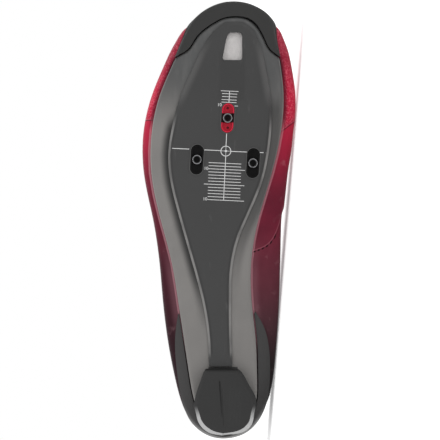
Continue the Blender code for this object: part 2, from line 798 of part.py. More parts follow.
def slot_places():
    """Centres in plan of the three bolt slots, by name."""
    axis = np.array([math.cos(BOLT_AXIS_ANGLE), math.sin(BOLT_AXIS_ANGLE)])
    across = np.array([-axis[1], axis[0]])
    front = np.array([FRONT_BOLT_ALONG * LENGTH, FRONT_BOLT_ACROSS])
    middle = front - BOLT_SETBACK * axis
    return {
        "front": front,
        "rear_lateral": middle - across * BOLT_SPACING / 2,
        "rear_medial": middle + across * BOLT_SPACING / 2,
    }


def prism(name, corners, low, high, material=None):
    """An upright solid with a flat outline."""
    count = len(corners)
    points = [(x, y, low) for x, y in corners] + [(x, y, high) for x, y in corners]
    faces = [tuple(range(count))[::-1], tuple(range(count, 2 * count))]
    for step in range(count):
        ahead = (step + 1) % count
        faces.append((step, ahead, count + ahead, count + step))
    thing = add_object(name, points, faces, material or make_material(name, (0.5, 0.5, 0.5), 0.5))
    return thing


def stadium(centre, length, width, turn, arc=8):
    """Outline of a slot with round ends."""
    corners = []
    for end in (1, -1):
        for step in range(arc + 1):
            angle = -math.pi / 2 + math.pi * step / arc
            x = end * ((length - width) / 2 + width / 2 * math.cos(angle))
            y = end * width / 2 * math.sin(angle)
            corners.append((centre[0] + x * math.cos(turn) - y * math.sin(turn),
                            centre[1] + x * math.sin(turn) + y * math.cos(turn)))
    return corners


def circle(centre, diameter, sides):
    """Outline of a round hole or pin."""
    turn = 2 * math.pi / sides
    return [(centre[0] + diameter / 2 * math.cos(turn * step),
             centre[1] + diameter / 2 * math.sin(turn * step)) for step in range(sides)]


def vent_loop(inset):
    """Outline of the toe window in plan, lateral side first, from its back to its front."""
    middle = np.array([VENT_ALONG * LENGTH, VENT_ACROSS])
    back = VENT_WIDTH_BACK / 2 - inset
    front = VENT_WIDTH_FRONT / 2 - inset
    half = VENT_LENGTH / 2 - inset
    soft = VENT_ROUND
    belly = front + (back - front) * VENT_BELLY
    lateral = [(-half, -back + soft), (-half + soft, -back), (half / 3, -belly),
               (half - soft, -front), (half, -front + soft)]
    medial = [(half, front - soft), (half - soft, front), (-half + soft, front), (-half, front - soft)]
    return np.array([middle + np.array(point) for point in lateral + medial])


def build_sole():
    """Frame, plate, slots, window and heel pad."""
    grey = make_material("frame_grey", (0.10, 0.10, 0.098), 0.45)
    dark = make_material("plate_dark", (0.058, 0.058, 0.058), 0.38)
    rubber = make_material("pad_rubber", (0.04, 0.04, 0.04), 0.75)
    frame = slab("outsole_frame", frame_loop(), frame_bottom, frame_top, grey,
                 [(FRAME_ROUND, 0.0), (0.0, FRAME_ROUND)],
                 [(LASTING_MARGIN, 0.0), (FRAME_ROUND, 0.0), (0.0, FRAME_ROUND / 2)], FRAME_MARGIN)
    outline = table_loop(PLATE, PLATE_COLUMNS, PLATE_STATIONS)
    taper = PLATE_END_BEVEL + (1 - PLATE_END_BEVEL) * fade((outline[:, 0] - outline[:, 0].min()) / PLATE_END)
    plate = slab("carbon_plate", outline, tread, lambda x, y: tread(x, y) + PLATE_THICKNESS, dark,
                 [(PLATE_BEVEL, 0.0), (0.0, PLATE_THICKNESS * PLATE_BEVEL_SHARE)], SHARP_EDGE,
                 PLATE_MARGIN, taper=taper)
    for name, place in slot_places().items():
        outline = stadium(place, SLOT_LENGTH, SLOT_WIDTH, BOLT_AXIS_ANGLE)
        for piece in (frame, plate):
            cut(piece, prism("cutter", outline, -CUT_REACH, CUT_REACH))
    for piece in (frame, plate):
        cut(piece, prism("cutter", vent_loop(0.0), -CUT_REACH, 2 * CUT_REACH))
    vent_grey = make_material("vent_grey", (0.45, 0.43, 0.42), 0.7)
    slab("toe_vent", vent_loop(GAP), lambda x, y: frame_bottom(x, y) + VENT_THICKNESS,
         lambda x, y: frame_bottom(x, y) + 2 * VENT_THICKNESS, vent_grey,
         SHARP_EDGE, SHARP_EDGE, VENT_ROUND * 2, shares=(0.5,))
    make_heel_pad(rubber)
    for name, place in slot_places().items():
        make_slot(name, place)


def pad_bottom(along, across):
    """The pad's walking face: flat, and cut back at the rear of the heel."""
    lift = HEEL_STRIKE * np.maximum(0.0, 1.0 - np.asarray(along) / HEEL_STRIKE_LENGTH) ** 2
    return np.full(np.shape(along), HEEL_PAD_LEVEL) + lift


def make_heel_pad(rubber):
    """The rubber pad, with its centre groove."""
    loop = table_loop(PAD, PAD_COLUMNS, PAD_STATIONS)
    pad = slab("heel_pad", loop, pad_bottom, lambda x, y: frame_bottom(x, y) - GAP, rubber,
               [(HEEL_PAD_BEVEL, 0.0), (0.0, HEEL_PAD_BEVEL)], SHARP_EDGE, PAD_MARGIN)
    half = PAD_GROOVE_WIDTH / 2
    (back, back_side), (front, front_side) = PAD_GROOVE_ENDS
    corners = [(back, back_side - half), (back, back_side + half),
               (front, front_side + half), (front, front_side - half)]
    cut(pad, prism("cutter", corners, -CUT_REACH, HEEL_PAD_LEVEL + PAD_GROOVE))


def make_slot(name, place):
    """A slot's liner, and the cleat nut that slides in it."""
    colour = (0.42, 0.02, 0.05) if name == "front" else (0.012, 0.012, 0.012)
    liner_material = make_material("liner_" + name, colour, 0.5)
    steel = make_material("nut_" + name, (0.35, 0.35, 0.36), 0.35, 1.0)
    level = float(frame_top(place[0], place[1]))
    outer = stadium(place, SLOT_LENGTH - 2 * GAP, SLOT_WIDTH - 2 * GAP, BOLT_AXIS_ANGLE)
    inner = stadium(place, SLOT_LENGTH - 2 * GAP - 2 * LINER_WALL, SLOT_WIDTH - 2 * GAP - 2 * LINER_WALL,
                    BOLT_AXIS_ANGLE)
    liner = prism("slot_liner_" + name, outer, LINER_RECESS, level, liner_material)
    cut(liner, prism("cutter", inner, -CUT_REACH, level - LINER_FLOOR))
    base_high = level - LINER_FLOOR - GAP
    base_low = base_high - NUT_BASE_HEIGHT
    base = stadium((0.0, 0.0), NUT_BASE_LENGTH, NUT_DIAMETER, 0.0, arc=4)
    nut = prism("cleat_nut_" + name, base, base_low, base_high, steel)
    join(nut, prism("boss", circle((0.0, 0.0), NUT_DIAMETER, NUT_SIDES), NUT_RECESS, base_high - NUT_BASE_HEIGHT / 2))
    cut(nut, prism("cutter", circle((0.0, 0.0), NUT_BORE, NUT_SIDES), -CUT_REACH, CUT_REACH))
    nut.location = (place[0], place[1], 0.0)
    nut.rotation_euler = (0.0, 0.0, BOLT_AXIS_ANGLE)


def make_insole():
    """The insole: it fills the upper's floor and steps over the lasting margin."""
    stations = [(step / SIDE_STATIONS, -1) for step in range(SIDE_STATIONS + 1)]
    stations += [(step / SIDE_STATIONS, 1) for step in range(SIDE_STATIONS - 1, 0, -1)]
    foot = rib_grid(stations, np.zeros((len(stations), 1)), [])[:, 0, :2]
    loop = foot - outward(foot) * (UPPER_WALL + 2 * GAP)
    step_up = UPPER_WALL + 2 * GAP
    well = LASTING_MARGIN - UPPER_WALL
    material = make_material("insole_black", (0.03, 0.03, 0.035), 0.85)
    return slab("insole", loop, lambda x, y: frame_top(x, y) + GAP,
                lambda x, y: frame_top(x, y) + step_up + INSOLE_THICKNESS, material,
                [(well + SMALL_STEP, 0.0), (well, step_up), (0.0, step_up + INSOLE_EDGE_LIFT)],
                [(INSOLE_ROUND, 0.0), (0.0, INSOLE_ROUND)], FRAME_MARGIN, shares=INSOLE_SHARES)


def face_tree(grid):
    """Search tree of the closed face that a grid of points spans."""
    count, rows = grid.shape[:2]
    quads = []
    for step in range(count):
        ahead = (step + 1) % count
        for row in range(rows - 1):
            quads.append((step * rows + row, ahead * rows + row, ahead * rows + row + 1, step * rows + row + 1))
    return BVHTree.FromPolygons([tuple(point) for point in grid.reshape(-1, 3)], quads)


def taut_line(tree, along):
    """The line in (y, z) that a taut band follows over the upper, from the outer side to the inner."""
    found = []
    for place in (along - STRAP_SPREAD, along, along + STRAP_SPREAD):
        for angle in np.linspace(-0.5 * math.pi, 0.5 * math.pi, STRAP_RAYS):
            away = Vector((0.0, math.sin(angle), math.cos(angle)))
            start = Vector((place, 0.0, STRAP_MIDDLE_HEIGHT)) + away * BALL_WIDTH
            hit = tree.ray_cast(start, -away, BALL_WIDTH)[0]
            if hit is not None:
                found.append((hit.y, hit.z))
    found.sort()
    hull = []
    for y, z in found:
        while len(hull) > 1:
            (ay, az), (by, bz) = hull[-2:]
            if (by - ay) * (z - az) - (bz - az) * (y - ay) < 0.0:
                break
            hull.pop()
        hull.append((y, z))
    return np.array(hull)


def make_strap(tree, name, along, reach_lateral):
    """A strap over the throat: sewn to the inner side, its free end on the outer one."""
    shares = np.linspace(-1.0, 1.0, STRAP_ROWS)
    low_face = []
    high_face = []
    for share in shares:
        line = taut_line(tree, LENGTH * along + share * STRAP_WIDTH / 2)
        steps = np.linalg.norm(np.diff(line, axis=0), axis=1)
        travel = np.concatenate([[0.0], np.cumsum(steps)])
        middle = float(np.interp(0.0, line[:, 0], travel))
        tip = STRAP_TIP * abs(share) ** 3
        places = np.linspace(middle - reach_lateral + tip, middle + STRAP_REACH_MEDIAL, STRAP_STATIONS)
        near = [np.stack([np.interp(places + shift, travel, line[:, axis]) for axis in (0, 1)], axis=1)
                for shift in (-STRAP_SPREAD, 0.0, STRAP_SPREAD)]
        ahead = near[2] - near[0]
        normal = np.stack([-ahead[:, 1], ahead[:, 0]], axis=1)
        normal /= np.linalg.norm(normal, axis=1)[:, None]
        for face, height in ((low_face, STRAP_LIFT), (high_face, STRAP_LIFT + STRAP_THICKNESS)):
            plan = near[1] + normal * height
            x = np.full(len(plan), LENGTH * along + share * STRAP_WIDTH / 2)
            face.append(np.column_stack([x, plan]))
    material = make_material(name, (0.30, 0.02, 0.05), 0.5)
    shell_object(name, np.array(high_face), np.array(low_face), False, material)


def make_tongue(inner, outer):
    """The tongue: it follows the upper's inner face and bridges the throat."""
    tree = face_tree(inner)
    half = SIDE_STATIONS
    rim_lateral = outer[:half + 1, -1]
    rim_medial = np.concatenate([outer[half:, -1], outer[:1, -1]])[::-1]
    corner = LENGTH * TOP[THROAT_ROW][0]
    front = LENGTH * TOP[-1][0]
    throat_lateral = rim_lateral[rim_lateral[:, 0] >= corner - THROAT_OVERLAP]
    throat_medial = rim_medial[rim_medial[:, 0] >= corner - THROAT_OVERLAP]
    below = UPPER_WALL + 4 * GAP
    top_face = []
    places = np.linspace(corner - TONGUE_RISE, front + TONGUE_TUCK, TONGUE_STATIONS - 2)
    places = np.concatenate([places[:1], places[0] + TONGUE_CORNER * np.array([0.15, 0.45]), places[1:]])
    for along in places:
        at = min(max(along, corner), front)
        low_side = float(np.interp(at, throat_lateral[:, 0], throat_lateral[:, 1]))
        high_side = float(np.interp(at, throat_medial[:, 0], throat_medial[:, 1]))
        rim = (float(np.interp(at, throat_lateral[:, 0], throat_lateral[:, 2]))
               + float(np.interp(at, throat_medial[:, 0], throat_medial[:, 2]))) / 2
        lap = TONGUE_LAP * (1 - 2.0 * float(fade((corner + TONGUE_NARROWING - along) / TONGUE_NARROWING)))
        reach = max((high_side - low_side) / 2, TONGUE_FRONT / 2) + lap
        corner_part = min(1.0, (along - places[0]) / TONGUE_CORNER)
        reach *= 1.0 - TONGUE_CORNER_SHARE * (1.0 - math.sqrt(1.0 - (1.0 - corner_part) ** 2))
        middle = (high_side + low_side) / 2
        line = []
        for share in np.linspace(-1.0, 1.0, TONGUE_ROWS):
            across = middle + share * reach
            hit = tree.ray_cast(Vector((along, across, INSIDE_HEIGHT)), Vector((0.0, 0.0, 1.0)))[0]
            crown = TONGUE_CROWN * (1 - share * share)
            free = rim - below + crown - TONGUE_CROWN + (at - along) * TONGUE_SLOPE * (along < corner)
            height = free if hit is None else min(hit.z - 2 * GAP, free)
            line.append((along, across, height))
        top_face.append(line)
    top_face = np.array(top_face)
    low_face = top_face - np.array([0.0, 0.0, TONGUE_THICKNESS])
    material = make_material("tongue_red", (0.25, 0.03, 0.05), 0.6)
    return shell_object("tongue", top_face, low_face, False, material)


def lay_down(normal):
    """Lay the whole shoe on its inner side, its middle over the origin and the floor at Z = 0."""
    up = Vector(-normal)
    ahead = Vector((1.0, 0.0, 0.0))
    ahead = (ahead - up * ahead.dot(up)).normalized()
    turn = Matrix((ahead, up.cross(ahead), up)).to_4x4()
    shoe = bpy.data.objects.new("shoe", None)
    bpy.context.scene.collection.objects.link(shoe)
    view = bpy.context.evaluated_depsgraph_get()
    view.update()
    points = []
    for thing in bpy.context.scene.objects:
        if thing.type == "MESH":
            places = thing.evaluated_get(view).data.vertices
            points += [turn @ thing.matrix_world @ corner.co for corner in places]
            thing.parent = shoe
    points = np.array([tuple(point) for point in points])
    low, high = points.min(axis=0), points.max(axis=0)
    shift = Vector((-(low[0] + high[0]) / 2, -(low[1] + high[1]) / 2, -low[2]))
    shoe.matrix_world = Matrix.Translation(shift) @ turn


def main():
    """Build the shoe."""
    for thing in list(bpy.data.objects):
        bpy.data.objects.remove(thing)
    outer, inner = upper_faces()
    normal, distance = resting_plane(outer)
    make_upper(press_flat(outer, normal, distance), inner)
    make_tongue(inner, outer)
    tree = face_tree(outer)
    for row in STRAPS:
        make_strap(tree, *row)
    make_insole()
    make_heel_cup()
    make_toe_bumper()
    build_sole()
    lay_down(normal)


main()
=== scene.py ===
"""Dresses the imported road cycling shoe: soft forms, materials, markings, floor, light and camera."""

import math

import bmesh
import bpy
import numpy as np
from bpy.props import FloatProperty, FloatVectorProperty, IntProperty, PointerProperty
from bpy.types import Operator, Panel, PropertyGroup
from mathutils import Matrix, Vector
from mathutils.bvhtree import BVHTree


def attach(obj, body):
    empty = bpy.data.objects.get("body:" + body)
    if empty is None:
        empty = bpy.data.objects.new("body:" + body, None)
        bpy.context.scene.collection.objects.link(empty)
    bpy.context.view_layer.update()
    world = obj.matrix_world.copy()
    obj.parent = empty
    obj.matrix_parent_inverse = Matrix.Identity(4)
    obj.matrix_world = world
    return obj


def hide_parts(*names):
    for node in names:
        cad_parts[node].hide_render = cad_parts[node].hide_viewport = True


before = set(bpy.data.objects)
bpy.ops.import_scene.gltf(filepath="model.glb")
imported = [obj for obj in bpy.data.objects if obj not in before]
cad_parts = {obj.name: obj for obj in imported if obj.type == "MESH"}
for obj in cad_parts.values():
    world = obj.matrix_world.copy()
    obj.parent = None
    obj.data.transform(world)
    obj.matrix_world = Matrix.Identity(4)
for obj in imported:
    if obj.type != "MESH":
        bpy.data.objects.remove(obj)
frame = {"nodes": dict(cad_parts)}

bl_info = {
    "name": "Road cycling shoe",
    "version": (1, 0, 0),
    "blender": (4, 5, 0),
    "location": "View3D > Sidebar > Shoe",
    "description": "Dresses a right road cycling shoe that lies on its inner side",
    "category": "Object",
}

# How the shoe lies: its own frame has X from heel to toe, Y to the inner side, Z from the sole up
LAY = Matrix((
    (0.996696, 0.081217, 0.001198, -0.141221),
    (0.000000, -0.014747, 0.999891, -0.047013),
    (0.081226, -0.996587, -0.014699, 0.027170),
    (0.0, 0.0, 0.0, 1.0),
))
STAND = LAY.inverted()
MILLIMETRE = 0.001
SLOT_TURN = math.radians(3.6)
SLOT_LENGTH = 0.0195
SLOT_WIDTH = 0.0084
SLOT_CENTRES = ((0.20792, -0.00020), (0.18092, -0.02018), (0.17863, 0.01624))
CUT_REACH = 0.02
SHORTEST_CHAIN = 12
RIM_LOWEST = 0.050
BINDING_RADIUS = 0.00135
# The lining is the wall's inner face, above a height and behind a place along the shoe
LINING_LOW = 0.040
LINING_FRONT = 0.114
LINING_THICKNESS = 0.0034
ANKLE = (0.030, 0.100)
# Creases: where along, forward lean, lowest height, half width, depth; below 0 they stand out
CREASES = (
    (0.2060, -0.45, 0.024, 0.0042, 0.00055),
    (0.2135, -0.50, 0.022, 0.0030, -0.00030),
    (0.1955, -0.40, 0.026, 0.0036, 0.00040),
    (0.2215, -0.42, 0.026, 0.0034, 0.00035),
    (0.1640, -0.30, 0.034, 0.0070, 0.00040),
)
CREASE_MIDDLE = 0.030
CREASE_RISE = 0.012
FOOT_MIDDLE = (-0.004, 0.022)
# Heel pad: its middle, how far forward its rear arc is fuller, and its groove
PAD_MIDDLE = -0.0017
PAD_REAR = 0.016
GROOVE_PLACE = (0.0225, -0.0045, -0.0178)
GROOVE_SIZE = (0.0290, 0.0009, 0.0400)
GROOVE_TURN = math.atan2(-0.0020, 0.0290)
GROOVE_LOW = (0.0070, -0.0064)
GROOVE_HIGH = (0.0380, -0.0027)
GROOVE_TOP = 0.0034
# Printed marks in plan, in millimetres of the shoe: x to the toe, y to the inner side
PRINT_LEAN = 0.047
PRINT_WIDTH = 0.36
PRINT_LIFT = 0.00004
PRINT_THICKNESS = 0.00003
CROSS = (186.4, -1.4)
# Rear scale: its first line, how many, from line to line, and their ends; every fifth is longer
SCALE_START = 154.5
SCALE_STEPS = 13
SCALE_PITCH = 2.0
SCALE_SHIFT = 0.06
SCALE_MIDDLE = -2.6
SCALE_ENDS = (-12.9, 8.2)
LONG_ENDS = (-12.9, 10.7)
LONGEST_ENDS = (-15.6, 10.7)
# Front scale: where along, and the two ends of each line
FRONT_TICKS = (
    (225.6, -4.6, 6.8),
    (223.8, -3.8, 6.0),
    (221.9, -3.9, 5.8),
    (219.9, -4.1, 5.6),
    (218.25, -4.2, 5.5),
    (215.7, 4.2, 6.4),
)
# Other lines: start, end and width
PRINT_LINES = (
    (225.4, 1.1, 218.1, 0.6, 0.42),
    (197.8, -0.9, 189.9, -1.3, 0.42),
    (182.9, -1.5, 154.3, -2.9, 0.42),
    (188.2, -36.2, 187.7, -25.2, 0.42),
    (187.2, -15.4, 186.7, -4.9, 0.42),
    (186.2, 2.1, 185.8, 12.2, 0.42),
    (185.5, 20.7, 185.3, 24.6, 0.42),
    (189.9, -1.3, 182.9, -1.5, 0.26),
    (186.6, -4.9, 186.3, 2.1, 0.26),
)
NUMBERS = ((175.1, -14.2), (155.3, -14.9), (216.4, -5.5))
# Fuller places of the sides: where along the shoe, how far to each end, which side, how much
UPPER_SWELLS = (
    (0.2665, 0.0060, -1, 0.0016),
    (0.2520, 0.0140, -1, 0.0004),
    (0.2675, 0.0060, 1, 0.0017),
    (0.2560, 0.0160, 1, 0.0011),
)
BUMPER_SWELLS = ((0.2740, 0.0100, 1, 0.0012),)
CROWN = 0.048
CROWN_FADE = 0.014
# The toe window's outline in plan, in millimetres
WINDOW = (
    (263.9, 1.3),
    (263.9, 7.4),
    (262.9, 8.7),
    (261.2, 9.2),
    (247.4, 9.2),
    (246.2, 8.8),
    (245.7, 7.8),
    (245.7, -2.3),
    (246.2, -3.1),
    (247.3, -3.4),
    (258.3, -1.4),
    (262.3, -0.2),
)
VENT_MIDDLE = (0.2552, 0.0030)
VENT_STRETCH = (1.2, 1.8)
LINER_RED = (0.64, 0.022, 0.055)
LINER_BLACK = (0.0015, 0.0015, 0.0015)
VIEW_MIDDLE = (0.1417, -0.0052, 0.0)
LIGHT_AIM = (0.0, 0.0, 0.04)
FLOOR_HEIGHT = -0.0004
FLOOR_GLOW = 0.30
# Lights: name, place, size and power
LIGHTS = (
    ("top_light", (0.1, -0.5, 1.3), 1.2, 1.6),
    ("front_light", (-0.3, -1.6, 0.9), 1.4, 2.5),
    ("back_light", (0.2, 1.4, 1.1), 1.4, 4.0),
)


def colour_property(name, description, default):
    """A colour that a user may change."""
    return FloatVectorProperty(name=name, description=description, default=default, size=3,
                               min=0.0, max=1.0, subtype="COLOR")


class ShoeColours(PropertyGroup):
    """Colours of the finishes."""

    toe: colour_property("Toe red", "Upper at the toe", (0.52, 0.019, 0.056))
    waist: colour_property("Waist red", "Upper at the waist", (0.148, 0.0135, 0.031))
    heel: colour_property("Heel black", "Upper at the heel", (0.012, 0.010, 0.011))
    frame: colour_property("Frame grey", "Sole frame at the ball", (0.066, 0.067, 0.067))
    frame_heel: colour_property("Frame heel grey", "Sole frame at the heel", (0.172, 0.165, 0.158))
    plate: colour_property("Plate grey", "Raised plate", (0.031, 0.031, 0.031))
    bumper: colour_property("Bumper", "Rubber round the toe", (0.021, 0.021, 0.0205))
    pad: colour_property("Pad", "Rubber under the heel", (0.021, 0.021, 0.021))
    cup: colour_property("Cup", "Stiff cup round the heel", (0.034, 0.033, 0.033))
    print_white: colour_property("Print", "Printed lines and numbers", (0.62, 0.62, 0.62))
    floor: colour_property("Floor", "Pale floor", (0.88, 0.88, 0.88))


class ShoeSizes(PropertyGroup):
    """Sizes that finish the pieces."""

    levels: IntProperty(name="Fineness", description="Subdivision of the main pieces",
                        default=2, min=0, max=3)
    view_width: FloatProperty(name="View width", description="Width of the picture at the sole",
                              default=0.2855, unit="LENGTH")
    view_distance: FloatProperty(name="View distance", description="From the sole to the camera",
                                 default=3.0, unit="LENGTH")


class Field:
    """A number that varies over a surface, with its arithmetic as nodes."""

    def __init__(self, tree, socket):
        self.tree = tree
        self.socket = socket

    def math(self, operation, *others):
        """This number and others, which may be fields or plain numbers, through a maths node."""
        node = self.tree.nodes.new("ShaderNodeMath")
        node.operation = operation
        for place, value in enumerate((self, *others)):
            if isinstance(value, Field):
                self.tree.links.new(value.socket, node.inputs[place])
            else:
                node.inputs[place].default_value = value
        return Field(self.tree, node.outputs[0])

    def __add__(self, other):
        return self.math("ADD", other)

    def __sub__(self, other):
        return self.math("SUBTRACT", other)

    def __rsub__(self, other):
        return self.math("MULTIPLY", -1.0) + other

    def __mul__(self, other):
        return self.math("MULTIPLY", other)

    def __truediv__(self, other):
        return self.math("DIVIDE", other)

    def __pow__(self, other):
        return self.math("POWER", other)

    def __abs__(self):
        return self.math("ABSOLUTE")

    __radd__ = __add__
    __rmul__ = __mul__

    def most(self, other):
        return self.math("MAXIMUM", other)

    def clipped(self):
        return self.math("MAXIMUM", 0.0).math("MINIMUM", 1.0)

    def step(self, start, end):
        """Soft step: 0 up to start, 1 from end on."""
        node = self.tree.nodes.new("ShaderNodeMapRange")
        node.interpolation_type = "SMOOTHSTEP"
        node.inputs["From Min"].default_value = min(start, end)
        node.inputs["From Max"].default_value = max(start, end)
        node.inputs["To Min"].default_value = 0.0 if start < end else 1.0
        node.inputs["To Max"].default_value = 1.0 if start < end else 0.0
        self.tree.links.new(self.socket, node.inputs["Value"])
        return Field(self.tree, node.outputs["Result"])

    def band(self, low, high, soft):
        """1 between low and high, 0 outside, with soft edges."""
        return self.step(low - soft, low + soft) * self.step(high + soft, high - soft)

    def wave(self):
        return self.math("SINE")

    def root(self):
        return self.math("SQRT")

    def piece(self, size):
        """Where in a repeat of that size the value is, from 0 to 1."""
        return (self / size).math("FRACT")


class Finish:
    """A material in the making, on the shoe's own coordinates in millimetres."""

    def __init__(self, name, roughness=0.5, metallic=0.0, specular=0.5):
        self.material = bpy.data.materials.new(name)
        self.material.use_nodes = True
        self.tree = self.material.node_tree
        self.shader = self.tree.nodes["Principled BSDF"]
        self.shader.inputs["Roughness"].default_value = roughness
        self.shader.inputs["Metallic"].default_value = metallic
        self.shader.inputs["Specular IOR Level"].default_value = specular
        place = self.node("ShaderNodeTexCoord", {}, {})
        stand = STAND.to_3x3().to_euler()
        shift = STAND.translation / MILLIMETRE
        mapping = self.node("ShaderNodeMapping", {"vector_type": "POINT"}, {
            "Vector": place.outputs["Object"], "Rotation": stand, "Location": shift,
            "Scale": (1 / MILLIMETRE, 1 / MILLIMETRE, 1 / MILLIMETRE)})
        self.place = mapping.outputs["Vector"]
        parts = self.node("ShaderNodeSeparateXYZ", {}, {"Vector": self.place})
        self.x, self.y, self.z = (Field(self.tree, parts.outputs[axis]) for axis in range(3))
        self.tone = None

    def node(self, kind, settings, values):
        """A node of any kind: its settings first, then the values or links of its sockets."""
        node = self.tree.nodes.new(kind)
        for name, value in settings.items():
            if name == "stops":
                while len(node.color_ramp.elements) < len(value):
                    node.color_ramp.elements.new(0.5)
                for element, (place, colour) in zip(node.color_ramp.elements, value):
                    element.position = place
                    element.color = (*colour, 1.0)
            else:
                setattr(node, name, value)
        for name, value in values.items():
            if isinstance(value, Field):
                self.tree.links.new(value.socket, node.inputs[name])
            elif isinstance(value, bpy.types.NodeSocket):
                self.tree.links.new(value, node.inputs[name])
            else:
                node.inputs[name].default_value = value
        return node

    def noise(self, size, detail=3.0, roughness=0.5, stretch=(1.0, 1.0, 1.0)):
        """Noise whose lumps are about size millimetres across."""
        vector = self.node("ShaderNodeMapping", {"vector_type": "POINT"},
                           {"Vector": self.place, "Scale": tuple(part / size for part in stretch)})
        node = self.node("ShaderNodeTexNoise", {}, {
            "Vector": vector.outputs[0], "Scale": 1.0, "Detail": detail, "Roughness": roughness})
        return Field(self.tree, node.outputs["Fac"])

    def flakes(self, size):
        """A random number from 0 to 1 for each flake that is about size millimetres across."""
        vector = self.node("ShaderNodeMapping", {"vector_type": "POINT"},
                           {"Vector": self.place, "Scale": (1 / size, 1 / size, 1 / size)})
        node = self.node("ShaderNodeTexVoronoi", {"feature": "F1"}, {
            "Vector": vector.outputs[0], "Scale": 1.0})
        parts = self.node("ShaderNodeSeparateColor", {}, {"Color": node.outputs["Color"]})
        return Field(self.tree, parts.outputs[0])

    def facing(self):
        """How far the surface faces toe, inner side and collar, from -1 to 1."""
        place = self.node("ShaderNodeTexCoord", {}, {})
        mapping = self.node("ShaderNodeMapping", {"vector_type": "VECTOR"}, {
            "Vector": place.outputs["Normal"], "Rotation": STAND.to_3x3().to_euler()})
        parts = self.node("ShaderNodeSeparateXYZ", {}, {"Vector": mapping.outputs["Vector"]})
        return tuple(Field(self.tree, parts.outputs[axis]) for axis in range(3))

    def along_rim(self, name="rim"):
        """Millimetres along the rim and away from it, from the piece's own map."""
        node = self.node("ShaderNodeUVMap", {"uv_map": name}, {})
        parts = self.node("ShaderNodeSeparateXYZ", {}, {"Vector": node.outputs["UV"]})
        return Field(self.tree, parts.outputs[0]) * 1000.0, Field(self.tree, parts.outputs[1]) * 1000.0

    def off_edge(self, reach=0.016):
        """Millimetres outside the outline that the piece was mapped to, less than 0 inside it."""
        node = self.node("ShaderNodeUVMap", {"uv_map": "edge"}, {})
        parts = self.node("ShaderNodeSeparateXYZ", {}, {"Vector": node.outputs["UV"]})
        return (Field(self.tree, parts.outputs[0]) - reach) * 1000.0

    def off_slot(self, centre):
        """Millimetres outside a cleat slot's outline in plan."""
        across = self.x - centre[0] / MILLIMETRE
        aside = self.y - centre[1] / MILLIMETRE
        along = abs(across * math.cos(SLOT_TURN) + aside * math.sin(SLOT_TURN))
        over = (along - (SLOT_LENGTH - SLOT_WIDTH) / 2 / MILLIMETRE).most(0.0)
        beside = aside * math.cos(SLOT_TURN) - across * math.sin(SLOT_TURN)
        return (over * over + beside * beside).root() - SLOT_WIDTH / 2 / MILLIMETRE

    def ring(self, centre, low, high, soft):
        """1 on a ring round a place in plan, between two radii."""
        across = self.x - centre[0]
        aside = self.y - centre[1]
        return (across * across + aside * aside).root().band(low, high, soft)

    def dots(self, first, second, pitch, radius, soft):
        """1 on round holes in staggered rows over two fields in millimetres."""
        rise = pitch * 0.866
        found = None
        for shift in (0.0, 0.5):
            aside = ((first / pitch + shift).math("FRACT") - 0.5) * pitch
            along = ((second / (2 * rise) + shift).math("FRACT") - 0.5) * (2 * rise)
            spot = (aside * aside + along * along).root().step(radius + soft, radius - soft)
            found = spot if found is None else found.most(spot)
        return found

    def blend(self, amount, first, second):
        """A colour between two, either of them a colour, a grey's one number or a socket."""
        node = self.node("ShaderNodeMix", {"data_type": "RGBA"}, {})
        for place, value in ((0, amount), (6, first), (7, second)):
            if isinstance(value, Field):
                self.tree.links.new(value.socket, node.inputs[place])
            elif isinstance(value, bpy.types.NodeSocket):
                self.tree.links.new(value, node.inputs[place])
            elif place == 0:
                node.inputs[place].default_value = value
            else:
                value = (value,) * 3 if isinstance(value, float) else value
                node.inputs[place].default_value = (*value, 1.0)
        return node.outputs[2]

    def start(self, amount, first, second):
        """Begin the colour with a blend of two."""
        self.tone = self.blend(amount, first, second)

    def over(self, amount, colour):
        """Lay a colour over what is there, by an amount from 0 to 1."""
        self.tone = self.blend(amount, self.tone, colour)

    def feed(self, name, value):
        """Give a socket of the shader a field, another node's socket or a plain value."""
        socket = self.shader.inputs[name]
        if isinstance(value, Field):
            self.tree.links.new(value.socket, socket)
        elif isinstance(value, bpy.types.NodeSocket):
            self.tree.links.new(value, socket)
        elif name == "Base Color":
            socket.default_value = (*value, 1.0)
        else:
            socket.default_value = value

    def end(self, height, distance=0.0003, strength=1.0):
        """Feed the colour so far, and a relief: height from 0 to 1 is worth distance in metres."""
        self.feed("Base Color", self.tone)
        node = self.node("ShaderNodeBump", {}, {
            "Height": height, "Distance": distance, "Strength": strength})
        self.tree.links.new(node.outputs["Normal"], self.shader.inputs["Normal"])


def pick(thing):
    """Select and activate one object alone."""
    if bpy.context.mode != "OBJECT":
        bpy.ops.object.mode_set(mode="OBJECT")
    bpy.ops.object.select_all(action="DESELECT")
    thing.select_set(True)
    bpy.context.view_layer.objects.active = thing


def edit(thing, *steps):
    """Run edit mode operators, given as (operator, keywords), on all of a piece."""
    pick(thing)
    bpy.ops.object.mode_set(mode="EDIT")
    bpy.ops.mesh.select_all(action="SELECT")
    for operator, words in steps:
        operator(**words)
    bpy.ops.object.mode_set(mode="OBJECT")


def apply_modifier(thing, kind, **settings):
    """Add a modifier with settings, and apply it."""
    pick(thing)
    modifier = thing.modifiers.new(kind.title(), kind)
    for name, value in settings.items():
        setattr(modifier, name, value)
    bpy.ops.object.modifier_apply(modifier=modifier.name)


